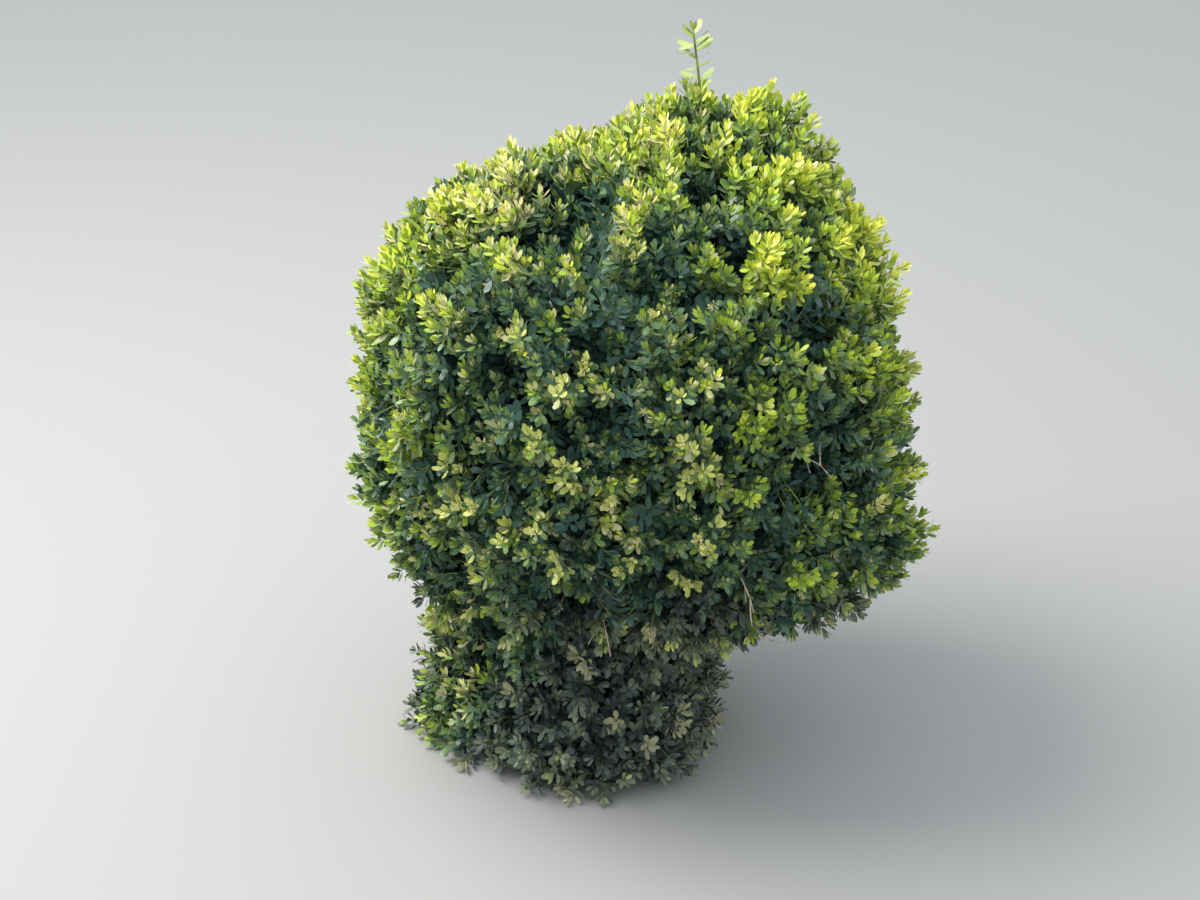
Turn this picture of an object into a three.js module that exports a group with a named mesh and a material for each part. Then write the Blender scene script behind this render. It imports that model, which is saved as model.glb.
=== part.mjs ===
// A clipped ball of common box, grown in open ground: a short flared stem, the boughs that fan out from it, and
// the masses of foliage that make up the ball, its leafy foot and the one shoot that stands above it.
// Millimetres, +Z up. The origin is the centre of the stem's flat cut at ground level, and the front faces -Y.
import * as THREE from 'three';

const radians = THREE.MathUtils.degToRad;

// The ball: half its width, depth and height, and how boxy it is clipped (2 is an ellipsoid)
const BALL_HALF = new THREE.Vector3(262, 258, 262);
const BALL_SQUARENESS = 2.2;
const BALL_CENTRE = new THREE.Vector3(35, 0, 372);
const BARE_SHARE = 0.55; // the leafless inside, as a share of the radius

// The leafy foot round the stem, as its reach from the stem at each side, and the tuft that sprawls from it
const FOOT_REACH = { right: 104, back: 132, left: 142, front: 150 };
const FOOT_BULGE = 13; // how much further it stands out halfway up
const FOOT_CONE = radians(35); // its top, as an angle from the stem seen from the ball's centre
const TUFT_BEARING = 178;
const TUFT_SPREAD = 26;
const TUFT_REACH = 44;
const TUFT_HEIGHT = 66;
const GROUND_CLEARANCE = 1.5;
const STEM_WELL = radians(9.5); // left open round the stem, as seen from the ball's centre

// The dark clefts between one mass and the next, and the unevenness of a mass
const CLEFT_DEPTH = 12;
const CLEFT_WIDTH = radians(5.5);
const MASS_GAP = radians(0.4);
const FOOT_GAP = radians(0.9);
const SWELL_SPREAD = radians(23);
const UNEVENNESS = 4.5;

// The wood
const STEM_HEIGHT = 64;
const STEM_LEAN = 6; // how far the top stands to the right of the cut
const STEM_TOP_RADIUS = 21;
const STEM_WAIST_RADIUS = 19;
const STEM_FLARE = 12; // how much wider the root flare is at the ground
const STEM_FLARE_HEIGHT = 15;
const FLARE_RIDGES = 5;
const BOUGH_COUNT = 6; // round the leader
const BOUGH_BASE_RADIUS = 6.5;
const BOUGH_SHOULDER_RADIUS = 5.6;
const BOUGH_WAIST_RADIUS = 4.9;
const BOUGH_FORK_RADIUS = 6.2;
const BOUGH_RING_RADIUS = 13.7;
const BOUGH_RISE = 48; // the angle at which a bough arrives at its fork
const FORK_ELEVATION = -30; // of a bough's fork, seen from the ball's centre
const FORK_REACH = 92;
const LEADER_TOP = new THREE.Vector3(30, 0, 396);
const LEADER_BASE_RADIUS = 6;
const LEADER_WAIST_RADIUS = 4.8;
const LEADER_FORK_RADIUS = 7;
const LIMB_BASE_RADIUS = 3.1;
const LEADER_LIMB_RADIUS = 2.8;
const LIMB_TIP_RADIUS = 1.9;
const LIMB_SPACING = 3.4; // from the middle of the fork to the middle of a limb's foot
const LEADER_LIMB_SPACING = 4.1;
const LEAVING_PULL = 0.38; // how long a limb keeps its first direction, as a share of its length
const ARRIVING_PULL = 0.2;
const LOW_BRANCH_HEIGHT = 40;
const LOW_BRANCH_RADIUS = 3.2;
const FORK_GAP = 0.9;
const JOINT_GAP = 0.5;
const MASS_ENTRY_GAP = 1.5;

// The masses of the ball: name, bearing from the right-hand side towards the back and elevation from the ball's
// centre, both in degrees, and how far the mass swells beyond the plain ball or falls short of it
const TOP_MASSES = [
  ['crown_top_back', 46, 58, 10],
  ['crown_top_back_left', 131, 60, -44],
  ['crown_top_front_left', 214, 62, -18],
  ['crown_top_front', 306, 60, -6],
];
const UPPER_MASSES = [
  ['crown_upper_right', 3, 14, -14],
  ['crown_upper_back_right', 62, 10, -2],
  ['crown_upper_back', 118, 15, 2],
  ['crown_upper_left', 176, 13, 6],
  ['crown_upper_front_left', 238, 15, -3],
  ['crown_upper_front', 300, 11, 3],
];
const LOWER_MASSES = [
  ['crown_lower_right', 343, -35, 39],
  ['crown_lower_back_right', 41, -29, 14],
  ['crown_lower_back', 100, -27, 4],
  ['crown_lower_left', 187, -31, 24],
  ['crown_lower_front_left', 239, -30, 0],
  ['crown_lower_front', 291, -29, 4],
];
// The masses of the foot: name, and the bearings that it stands between
const FOOT_MASSES = [
  ['foot_right', -46, 38],
  ['foot_back', 38, 131],
  ['foot_left', 131, 219],
  ['foot_front', 219, 314],
];
// The shoot above the clipped ball: where it stands, how long it is and how it leans
const SPRIG_BEARING = 47;
const SPRIG_ELEVATION = 73;
const SPRIG_LENGTH = 56;
const SPRIG_RADIUS = 16;
const SPRIG_LEAN = new THREE.Vector3(-0.16, -0.04, 1).normalize();
const SPRIG_CLEARANCE = 3;

const MASS_SIDES = 20; // about
// The rows of a mass from the middle of its outside to the middle of its inside: the share of the way to its edge
const OUTER_ROWS = [0, 0.3, 0.56, 0.78, 0.93, 1];
const INNER_ROWS = [1, 0.6, 0];
const CORNER_SEARCH_STEPS = 240; // round a mass's edge
const FOOT_ROWS = 8;
const FOOT_WALL_HEIGHTS = [GROUND_CLEARANCE, 22, 48, 78, 108]; // of the points down its outside

const BARK = new THREE.MeshStandardMaterial({ color: 0x7a6a55, roughness: 0.9, metalness: 0 });
const YOUNG_BARK = new THREE.MeshStandardMaterial({ color: 0x8a8156, roughness: 0.85, metalness: 0 });
const FOLIAGE = new THREE.MeshStandardMaterial({ color: 0x3c5a1e, roughness: 0.6, metalness: 0 });
const SHADED_FOLIAGE = new THREE.MeshStandardMaterial({ color: 0x2f4220, roughness: 0.65, metalness: 0 });
const NEW_FOLIAGE = new THREE.MeshStandardMaterial({ color: 0x8fae2c, roughness: 0.55, metalness: 0 });

const UP = new THREE.Vector3(0, 0, 1);
// The line of the stem, from the ball's centre down to the cut, and two directions square to it
const STEM_AXIS = BALL_CENTRE.clone().negate().normalize();
const AXIS_RIGHT = new THREE.Vector3(1, 0, 0).projectOnPlane(STEM_AXIS).normalize();
const AXIS_BACK = new THREE.Vector3(0, 1, 0);

function directionOf(bearing, elevation) {
  const flat = Math.cos(radians(elevation));
  return new THREE.Vector3(
    flat * Math.cos(radians(bearing)),
    flat * Math.sin(radians(bearing)),
    Math.sin(radians(elevation)),
  );
}

const sites = [...TOP_MASSES, ...UPPER_MASSES, ...LOWER_MASSES].map(([name, bearing, elevation, swell]) => ({
  name,
  swell,
  toward: directionOf(bearing, elevation),
}));

// How far the plain clipped ball reaches from its centre
function ballReach(d) {
  const p = BALL_SQUARENESS;
  const sum =
    Math.abs(d.x / BALL_HALF.x) ** p + Math.abs(d.y / BALL_HALF.y) ** p + Math.abs(d.z / BALL_HALF.z) ** p;
  return sum ** (-1 / p);
}

// A gentle unevenness that never repeats round the plant, between -1 and 1
function ripple(d) {
  const slow = Math.sin(11 * d.x + 3 * d.y + 1.3) + Math.sin(9 * d.y - 7 * d.z + 0.4);
  const quick = Math.sin(17 * d.z + 8 * d.x * d.y) + Math.sin(15 * d.x - 14 * d.y + 2.1);
  return (slow + 0.7 * quick) / 3.4;
}

// How far the foliage reaches from the ball's centre in the direction d
function reach(d) {
  const angles = sites.map((site) => d.angleTo(site.toward));
  const [nearest, second] = [...angles].sort((a, b) => a - b);
  const swell = sites.reduce(
    (sum, site, i) => sum + site.swell * Math.exp(-((angles[i] / SWELL_SPREAD) ** 2)),
    0,
  );
  const cleft = CLEFT_DEPTH * Math.exp(-(((second - nearest) / CLEFT_WIDTH) ** 2));
  return ballReach(d) + swell - cleft + UNEVENNESS * ripple(d);
}

// A unit vector that starts from the direction d and has turned by an angle towards the unit vector t
function turned(d, t, angle) {
  return d.clone().multiplyScalar(Math.cos(angle)).addScaledVector(t, Math.sin(angle));
}

// The angle from a mass's middle to its edge, along the great circle that starts towards the unit vector t: the
// edge lies halfway to each neighbour, or where the foot begins
function edgeAngle(site, t) {
  let edge = Math.PI / 2;
  for (const other of sites) {
    if (other === site) continue;
    const normal = other.toward.clone().sub(site.toward);
    const away = t.dot(normal);
    if (away > 1e-6) edge = Math.min(edge, Math.atan2(-site.toward.dot(normal), away));
  }
  const outside = (angle) => turned(site.toward, t, angle).angleTo(STEM_AXIS) > FOOT_CONE;
  if (!outside(edge)) {
    let inner = 0;
    for (let halving = 0; halving < 20; halving++) {
      const middle = (inner + edge) / 2;
      if (outside(middle)) inner = middle;
      else edge = middle;
    }
  }
  return edge - MASS_GAP;
}

function squareTo(direction) {
  const helper = Math.abs(direction.z) < 0.9 ? UP : new THREE.Vector3(1, 0, 0);
  return new THREE.Vector3().crossVectors(helper, direction).normalize();
}

// The turns at which a mass's edge is drawn: one on each of its corners, and the rest shared out between them
function edgeTurns(edgeAt) {
  const step = (2 * Math.PI) / CORNER_SEARCH_STEPS;
  const isCorner = (turn) => edgeAt(turn) > edgeAt(turn - step) && edgeAt(turn) >= edgeAt(turn + step);
  const all = Array.from({ length: CORNER_SEARCH_STEPS }, (_, i) => i * step);
  const corners = all.filter(isCorner);
  return corners.flatMap((from, i) => {
    const to = corners[i + 1] ?? corners[0] + 2 * Math.PI;
    const count = Math.max(1, Math.round((MASS_SIDES * (to - from)) / (2 * Math.PI)));
    return Array.from({ length: count }, (_, k) => from + ((to - from) * k) / count);
  });
}

// A mass is a sphere whose upper rows are drawn out to the foliage's outside and whose lower rows close its inside
function massGeometry(site) {
  const rows = [...OUTER_ROWS.map((share) => [share, 1]), ...INNER_ROWS.map((share) => [share, BARE_SHARE])];
  const across = squareTo(site.toward);
  const along = new THREE.Vector3().crossVectors(across, site.toward);
  const outward = (turn) =>
    across.clone().multiplyScalar(-Math.cos(turn)).addScaledVector(along, Math.sin(turn));
  const turns = edgeTurns((turn) => edgeAngle(site, outward(turn)));
  const sides = turns.length;
  const geometry = new THREE.SphereGeometry(1, sides, rows.length - 1);
  const position = geometry.attributes.position;
  for (let side = 0; side <= sides; side++) {
    const t = outward(turns[side % sides]);
    const edge = edgeAngle(site, t);
    rows.forEach(([share, depth], row) => {
      const d = turned(site.toward, t, edge * share);
      d.multiplyScalar(reach(d) * depth);
      position.setXYZ(row * (sides + 1) + side, d.x, d.y, d.z);
    });
  }
  geometry.computeVertexNormals();
  return geometry;
}

// How far the foot's outside stands from the stem's line, at a bearing in degrees and a height
function footRadius(bearing, height) {
  const right = Math.cos(radians(bearing));
  const back = Math.sin(radians(bearing));
  const side = right > 0 ? FOOT_REACH.right : FOOT_REACH.left;
  const end = back > 0 ? FOOT_REACH.back : FOOT_REACH.front;
  const bulge = FOOT_BULGE * Math.sin(Math.min(height / 100, 1) * Math.PI);
  const tuft =
    TUFT_REACH * Math.exp(-(((bearing - TUFT_BEARING) / TUFT_SPREAD) ** 2) - (height / TUFT_HEIGHT) ** 4);
  return side * right * right + end * back * back + bulge + tuft;
}

// The outline of the foot cut through at a bearing, as points in space from the ground round and back again
function footOutline(bearing) {
  const t = AXIS_RIGHT.clone()
    .multiplyScalar(Math.cos(radians(bearing)))
    .addScaledVector(AXIS_BACK, Math.sin(radians(bearing)));
  const atAngle = (angle, distance) =>
    turned(STEM_AXIS, t, angle).multiplyScalar(distance).add(BALL_CENTRE);
  const topAngle = FOOT_CONE - FOOT_GAP;
  const top = reach(turned(STEM_AXIS, t, topAngle));
  const wellTop = BALL_CENTRE.length() * BARE_SHARE;
  const wellFoot = (BALL_CENTRE.z - GROUND_CLEARANCE) / -turned(STEM_AXIS, t, STEM_WELL).z;
  const wall = FOOT_WALL_HEIGHTS.map((height) => {
    const wobble = UNEVENNESS * ripple(directionOf(bearing, height / 2));
    const out = directionOf(bearing, 0).multiplyScalar(footRadius(bearing, height) + wobble);
    out.x += BALL_CENTRE.x * (height / BALL_CENTRE.z);
    out.z = height;
    return out;
  });
  return [
    ...wall,
    atAngle(topAngle, top),
    atAngle(topAngle, top * (1 + BARE_SHARE) / 2),
    atAngle(topAngle, top * BARE_SHARE),
    atAngle(STEM_WELL, wellTop),
    atAngle(STEM_WELL, (wellTop + wellFoot) / 2),
    atAngle(STEM_WELL, wellFoot),
  ];
}

// A mass of the foot is a sphere laid on its side: its rows are the outlines at one bearing after another
function footGeometry(from, to) {
  const gap = THREE.MathUtils.radToDeg(MASS_GAP) * 1.5;
  const bearings = Array.from({ length: FOOT_ROWS }, (_, i) =>
    THREE.MathUtils.lerp(from + gap, to - gap, i / (FOOT_ROWS - 1)),
  );
  const outlines = bearings.map(footOutline);
  const sides = outlines[0].length;
  const middleOf = (outline) =>
    outline.reduce((sum, point) => sum.add(point), new THREE.Vector3()).divideScalar(sides);
  const rows = [
    Array(sides).fill(middleOf(outlines[0])),
    ...outlines,
    Array(sides).fill(middleOf(outlines[FOOT_ROWS - 1])),
  ];
  const geometry = new THREE.SphereGeometry(1, sides, rows.length - 1);
  const position = geometry.attributes.position;
  rows.forEach((outline, row) => {
    for (let side = 0; side <= sides; side++) {
      const { x, y, z } = outline[side % sides];
      position.setXYZ(row * (sides + 1) + side, x, y, z);
    }
  });
  geometry.computeVertexNormals();
  return geometry;
}

// A tapering limb: a cylinder bent along a curve that leaves its base and reaches its tip in given directions.
// radii are taken at even steps from base to tip.
function limbGeometry({ base, leaving, tip, arriving, radii, sides }) {
  const length = base.distanceTo(tip);
  const curve = new THREE.CubicBezierCurve3(
    base,
    base.clone().addScaledVector(leaving, length * LEAVING_PULL),
    tip.clone().addScaledVector(arriving, -length * ARRIVING_PULL),
    tip,
  );
  const rings = radii.length - 1;
  const geometry = new THREE.CylinderGeometry(1, 1, 1, sides, rings);
  const frames = curve.computeFrenetFrames(rings, false);
  const position = geometry.attributes.position;
  const point = new THREE.Vector3();
  for (let i = 0; i < position.count; i++) {
    const ring = Math.round((position.getY(i) + 0.5) * rings);
    curve.getPointAt(ring / rings, point);
    point.addScaledVector(frames.normals[ring], position.getX(i) * radii[ring]);
    point.addScaledVector(frames.binormals[ring], -position.getZ(i) * radii[ring]);
    position.setXYZ(i, point.x, point.y, point.z);
  }
  geometry.computeVertexNormals();
  return geometry;
}

// The stem: a cylinder with a ridged flare at the ground, a waist, and a slight swelling under the fork
function stemGeometry() {
  const geometry = new THREE.CylinderGeometry(1, 1, 1, 20, 7);
  const position = geometry.attributes.position;
  for (let i = 0; i < position.count; i++) {
    const share = position.getY(i) + 0.5;
    const height = share * STEM_HEIGHT;
    const turn = Math.atan2(position.getZ(i), position.getX(i));
    const ridges = 1 + 0.3 * Math.cos(FLARE_RIDGES * turn);
    const flare = STEM_FLARE * Math.exp(-height / STEM_FLARE_HEIGHT) * ridges;
    const radius = STEM_WAIST_RADIUS + flare + (STEM_TOP_RADIUS - STEM_WAIST_RADIUS) * share * share;
    position.setXYZ(i, position.getX(i) * radius + STEM_LEAN * share, -position.getZ(i) * radius, height);
  }
  geometry.computeVertexNormals();
  return geometry;
}

// The lone shoot above the ball: a spindle, widest above its middle
function sprigGeometry() {
  const geometry = new THREE.SphereGeometry(1, 10, 8);
  const toward = directionOf(SPRIG_BEARING, SPRIG_ELEVATION);
  const base = BALL_CENTRE.clone().addScaledVector(toward, reach(toward) + SPRIG_CLEARANCE);
  const across = squareTo(SPRIG_LEAN);
  const along = new THREE.Vector3().crossVectors(across, SPRIG_LEAN);
  const position = geometry.attributes.position;
  const point = new THREE.Vector3();
  for (let i = 0; i < position.count; i++) {
    const share = (position.getY(i) + 1) / 2;
    const width = SPRIG_RADIUS * (0.6 + 0.4 * share);
    point.copy(base).addScaledVector(SPRIG_LEAN, share * SPRIG_LENGTH);
    point.addScaledVector(across, position.getX(i) * width);
    point.addScaledVector(along, position.getZ(i) * width);
    position.setXYZ(i, point.x, point.y, point.z);
  }
  geometry.computeVertexNormals();
  return geometry;
}

const plant = new THREE.Group();

function addNode(name, geometry, material) {
  const mesh = new THREE.Mesh(geometry, material);
  mesh.name = name;
  plant.add(mesh);
  return mesh;
}

// Where a limb meets the inside of a mass
function entryOf(site) {
  return BALL_CENTRE.clone().addScaledVector(site.toward, reach(site.toward) * BARE_SHARE - MASS_ENTRY_GAP);
}

// Limbs stand side by side on the end of the bough that carries them, each leaning out to its own mass
function addLimbs(end, heading, served, radius, spacing) {
  const entries = served.map(entryOf);
  const middle = entries.reduce((sum, entry) => sum.add(entry), new THREE.Vector3()).divideScalar(served.length);
  served.forEach((site, i) => {
    const aside = entries[i].clone().sub(middle).projectOnPlane(heading).normalize();
    const geometry = limbGeometry({
      base: end.clone().addScaledVector(aside, spacing).addScaledVector(heading, JOINT_GAP),
      leaving: heading,
      tip: entries[i],
      arriving: site.toward,
      radii: [radius, radius * 0.85, (radius + LIMB_TIP_RADIUS) / 2, LIMB_TIP_RADIUS * 1.05, LIMB_TIP_RADIUS],
      sides: 7,
    });
    addNode(site.name + '_limb', geometry, YOUNG_BARK);
  });
}

addNode('stem', stemGeometry(), BARK);
const stemTop = new THREE.Vector3(STEM_LEAN, 0, STEM_HEIGHT + FORK_GAP);
const lean = STEM_AXIS.clone().negate();

// The leader, in the middle, carries the masses of the crown's top
const leader = limbGeometry({
  base: stemTop,
  leaving: lean,
  tip: LEADER_TOP,
  arriving: UP,
  radii: [LEADER_BASE_RADIUS, ...Array(5).fill(LEADER_WAIST_RADIUS), LEADER_FORK_RADIUS],
  sides: 9,
});
addNode('leader', leader, BARK);
addLimbs(LEADER_TOP, UP, sites.slice(0, TOP_MASSES.length), LEADER_LIMB_RADIUS, LEADER_LIMB_SPACING);

// Each bough carries an upper mass and the lower mass under it
for (let i = 0; i < BOUGH_COUNT; i++) {
  const upper = sites[TOP_MASSES.length + i];
  const lower = sites[TOP_MASSES.length + UPPER_MASSES.length + i];
  const between = upper.toward.clone().add(lower.toward);
  const bearing = THREE.MathUtils.radToDeg(Math.atan2(between.y, between.x));
  const fork = BALL_CENTRE.clone().addScaledVector(directionOf(bearing, FORK_ELEVATION), FORK_REACH);
  const heading = directionOf(bearing, BOUGH_RISE);
  const bough = limbGeometry({
    base: stemTop.clone().addScaledVector(directionOf((360 / BOUGH_COUNT) * i, 0), BOUGH_RING_RADIUS),
    leaving: lean,
    tip: fork,
    arriving: heading,
    radii: [BOUGH_BASE_RADIUS, BOUGH_SHOULDER_RADIUS, ...Array(4).fill(BOUGH_WAIST_RADIUS), BOUGH_FORK_RADIUS],
    sides: 9,
  });
  addNode(upper.name.replace('crown_upper', 'bough'), bough, BARK);
  addLimbs(fork, heading, [upper, lower], LIMB_BASE_RADIUS, LIMB_SPACING);
}

// A low branch runs from the side of the stem into each mass of the foot
for (const [name, from, to] of FOOT_MASSES) {
  const out = directionOf((from + to) / 2, 0);
  const middle = new THREE.Vector3(STEM_LEAN * (LOW_BRANCH_HEIGHT / STEM_HEIGHT), 0, LOW_BRANCH_HEIGHT);
  const wellRadius = Math.tan(STEM_WELL) * (BALL_CENTRE.z - LOW_BRANCH_HEIGHT);
  const branch = limbGeometry({
    base: middle.clone().addScaledVector(out, STEM_TOP_RADIUS + 1),
    leaving: out,
    tip: middle.clone().addScaledVector(out, wellRadius - 2 * MASS_ENTRY_GAP),
    arriving: out,
    radii: [LOW_BRANCH_RADIUS, LOW_BRANCH_RADIUS * 0.9, LOW_BRANCH_RADIUS * 0.85],
    sides: 7,
  });
  addNode(name + '_branch', branch, YOUNG_BARK);
}

for (const site of sites) addNode(site.name, massGeometry(site), FOLIAGE).position.copy(BALL_CENTRE);
for (const [name, from, to] of FOOT_MASSES) addNode(name, footGeometry(from, to), SHADED_FOLIAGE);
addNode('top_sprig', sprigGeometry(), NEW_FOLIAGE);

export default plant;
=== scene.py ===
import math
import random

import bpy
import numpy as np
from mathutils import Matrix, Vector, noise
from mathutils.kdtree import KDTree


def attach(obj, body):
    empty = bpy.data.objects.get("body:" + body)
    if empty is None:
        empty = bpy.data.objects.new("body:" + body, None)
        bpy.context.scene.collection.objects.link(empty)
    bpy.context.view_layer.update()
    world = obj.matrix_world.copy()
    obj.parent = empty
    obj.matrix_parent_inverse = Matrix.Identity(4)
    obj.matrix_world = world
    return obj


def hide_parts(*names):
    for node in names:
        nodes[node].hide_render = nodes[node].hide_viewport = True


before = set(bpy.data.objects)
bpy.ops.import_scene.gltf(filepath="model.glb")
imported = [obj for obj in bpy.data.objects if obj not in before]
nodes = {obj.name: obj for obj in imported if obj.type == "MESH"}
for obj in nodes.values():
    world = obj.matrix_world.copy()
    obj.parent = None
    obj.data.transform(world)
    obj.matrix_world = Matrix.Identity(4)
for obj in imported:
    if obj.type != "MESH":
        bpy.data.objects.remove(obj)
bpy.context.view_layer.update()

scene = bpy.context.scene


# Studio
# A plain pale floor under a wide soft lamp, and a camera at eye height that looks down at the plant
# from a little under three metres, as the photograph does. Nothing here belongs to the plant.
CAMERA_PLACE = Vector((0, -2.763, 1.65))
CAMERA_AIM = Vector((0, 0, 0.29))
CAMERA_LENS_MM = 100
SENSOR_WIDTH_MM = 36
NEAREST_SEEN = 0.05
LAMP_PLACE = Vector((-1.1, 0.1, 2.1))
LAMP_SIZE = 1.5
LAMP_WATTS = 76
SKY_STRENGTH = 1.55
SKY_COLOUR = "#E4ECF7"
FLOOR_SIZE = 16
FLOOR_DROP = 0.0004
FLOOR_COLOUR = "#9B9994"


def linear(hex_colour):
    """An sRGB hex colour as the linear values that a shader takes."""
    parts = [int(hex_colour[i:i + 2], 16) / 255 for i in (1, 3, 5)]
    curve = [p / 12.92 if p <= 0.04045 else ((p + 0.055) / 1.055) ** 2.4 for p in parts]
    return (*curve, 1.0)


def add_node(tree, kind, values=None, links=None):
    """Adds one shader node, sets its sockets, and links outputs to its inputs."""
    node = tree.nodes.new(kind)
    for key, value in (values or {}).items():
        node.inputs[key].default_value = value
    for key, source in (links or {}).items():
        tree.links.new(source, node.inputs[key])
    return node


def new_material(name):
    """An empty node material, with its tree."""
    material = bpy.data.materials.new(name)
    material.use_nodes = True
    material.node_tree.nodes.clear()
    return material, material.node_tree


def add_surface(tree, values, links=None):
    """Ends a material's tree with a surface shader that has these sockets set and linked."""
    surface = add_node(tree, "ShaderNodeBsdfPrincipled", values, links)
    add_node(tree, "ShaderNodeOutputMaterial", links={"Surface": surface.outputs[0]})


def select_only(*pieces):
    """Selects just these objects and makes the last one active, as operators act on all that is selected."""
    bpy.ops.object.select_all(action="DESELECT")
    for piece in pieces:
        piece.select_set(True)
    bpy.context.view_layer.objects.active = pieces[-1] if pieces else None


scene.view_settings.view_transform = "Standard"

select_only()
bpy.ops.object.camera_add(location=CAMERA_PLACE)
camera = bpy.context.object
camera.name = "camera"
camera.rotation_euler = (CAMERA_AIM - CAMERA_PLACE).to_track_quat("-Z", "Y").to_euler()
camera.data.lens = CAMERA_LENS_MM
camera.data.sensor_width = SENSOR_WIDTH_MM
camera.data.clip_start = NEAREST_SEEN
scene.camera = camera

bpy.ops.object.light_add(type="AREA", location=LAMP_PLACE)
lamp = bpy.context.object
lamp.name = "soft_lamp"
lamp.rotation_euler = (CAMERA_AIM - LAMP_PLACE).to_track_quat("-Z", "Y").to_euler()
lamp.data.size = LAMP_SIZE
lamp.data.energy = LAMP_WATTS

world = bpy.data.worlds.new("studio_sky")
scene.world = world
world.use_nodes = True
world.node_tree.nodes["Background"].inputs["Color"].default_value = linear(SKY_COLOUR)
world.node_tree.nodes["Background"].inputs["Strength"].default_value = SKY_STRENGTH

bpy.ops.mesh.primitive_plane_add(size=FLOOR_SIZE, location=(0, 0, -FLOOR_DROP))
floor = bpy.context.object
floor.name = "floor"

# Matt studio floor paint: pale, even and without gloss.
floor_paint, tree = new_material("matt_floor_paint")
add_surface(tree, {"Base Color": linear(FLOOR_COLOUR), "Roughness": 0.9, "Specular IOR Level": 0.2})
floor.data.materials.append(floor_paint)


# Stem and boughs
# Old box wood: a short main stem with a root flare, cut flat at the ground, and seven boughs that
# stand side by side on its top. Copies of the CAD solids are grown together and get the bark's relief.
BOUGHS = [name for name in nodes if name.startswith("bough_")]
STEM_TOP = Vector((0.006, 0, 0.064))
STEM_COLLAR_RADIUS = 0.0185
STEM_COLLAR_FLATNESS = 0.6
BOUGH_COLLAR_RADIUS = 0.0062
FORK_SLICE = 0.001
OLD_WOOD_VOXEL = 0.0018
OLD_WOOD_SMOOTHINGS = 4
FISSURE_PITCH = 0.0042
FISSURE_STRETCH = 0.24
FISSURE_SHARPNESS = 3.2
FISSURE_SHARE = 0.9
SWELL_SIZE = 0.011
SWELL_SHARE = 0.55
OLD_FISSURE_DEPTH = 0.0009
FISSURES_LOST = 0.55
FISSURES_LOST_BY = 0.15


def copy_of_solids(name, sources):
    """One new object from copies of these CAD nodes' meshes, with their loose triangles merged."""
    copies = [bpy.data.objects.new(name, nodes[source].data.copy()) for source in sources]
    for part in copies:
        scene.collection.objects.link(part)
    select_only(*copies)
    bpy.ops.object.join()
    whole = bpy.context.view_layer.objects.active
    whole.name = name
    whole.data.materials.clear()
    bpy.ops.object.mode_set(mode="EDIT")
    bpy.ops.mesh.select_all(action="SELECT")
    bpy.ops.mesh.remove_doubles(threshold=0.00001)
    bpy.ops.object.mode_set(mode="OBJECT")
    return whole


def vertex_rows(mesh, key):
    """One vector of every vertex of a mesh, its place or its normal, as an array."""
    flat = np.empty(len(mesh.vertices) * 3)
    mesh.vertices.foreach_get(key, flat)
    return flat.reshape(-1, 3)


def height(places):
    """How high each of these places is."""
    return places[:, 2]


def end_of(name, measure, depth):
    """The middle of the end of a CAD solid where measure is greatest, as deep as depth."""
    places = vertex_rows(nodes[name].data, "co")
    values = measure(places)
    return places[values > values.max() - depth].mean(axis=0)


def grow_together(wood, collars, voxel, smoothings):
    """Joins a wood mesh with round collars at its forks, remeshes the lot and smooths it."""
    for place, radius, flatness in collars:
        select_only()
        bpy.ops.mesh.primitive_ico_sphere_add(subdivisions=3, radius=radius, location=place)
        collar = bpy.context.object
        collar.scale.z = flatness
        bpy.ops.object.transform_apply(location=True, rotation=True, scale=True)
        select_only(collar, wood)
        bpy.ops.object.join()
    select_only(wood)
    remesh = wood.modifiers.new("grown_together", "REMESH")
    remesh.mode = "VOXEL"
    remesh.voxel_size = voxel
    bpy.ops.object.modifier_apply(modifier=remesh.name)
    smooth = wood.modifiers.new("smoothed", "SMOOTH")
    smooth.factor = 0.5
    smooth.iterations = smoothings
    bpy.ops.object.modifier_apply(modifier=smooth.name)


def carve_fissures(wood, depth_at):
    """Presses long fissures into the bark, as deep as depth_at says for a height."""
    places = vertex_rows(wood.data, "co")
    pressed = np.empty(len(places))
    for i, (x, y, z) in enumerate(places):
        spot = Vector((x, y, z * FISSURE_STRETCH)) / FISSURE_PITCH
        groove = 1 - min(1, abs(noise.noise(spot)) * FISSURE_SHARPNESS)
        swell = noise.noise(Vector((x, y, z)) / SWELL_SIZE + Vector((7, 3, 1)))
        pressed[i] = depth_at(z) * (SWELL_SHARE * swell - FISSURE_SHARE * groove * groove)
    places += vertex_rows(wood.data, "normal") * pressed[:, None]
    places[:, 2] = np.maximum(places[:, 2], 0)
    wood.data.vertices.foreach_set("co", places.ravel())
    wood.data.update()


def finish_wood(wood, material, replaced):
    """Shades the wood smooth, gives it its bark and hides the CAD solids that it stands for."""
    select_only(wood)
    bpy.ops.object.shade_smooth()
    wood.data.materials.clear()
    wood.data.materials.append(material)
    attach(wood, "root")
    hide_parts(*replaced)


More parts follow.
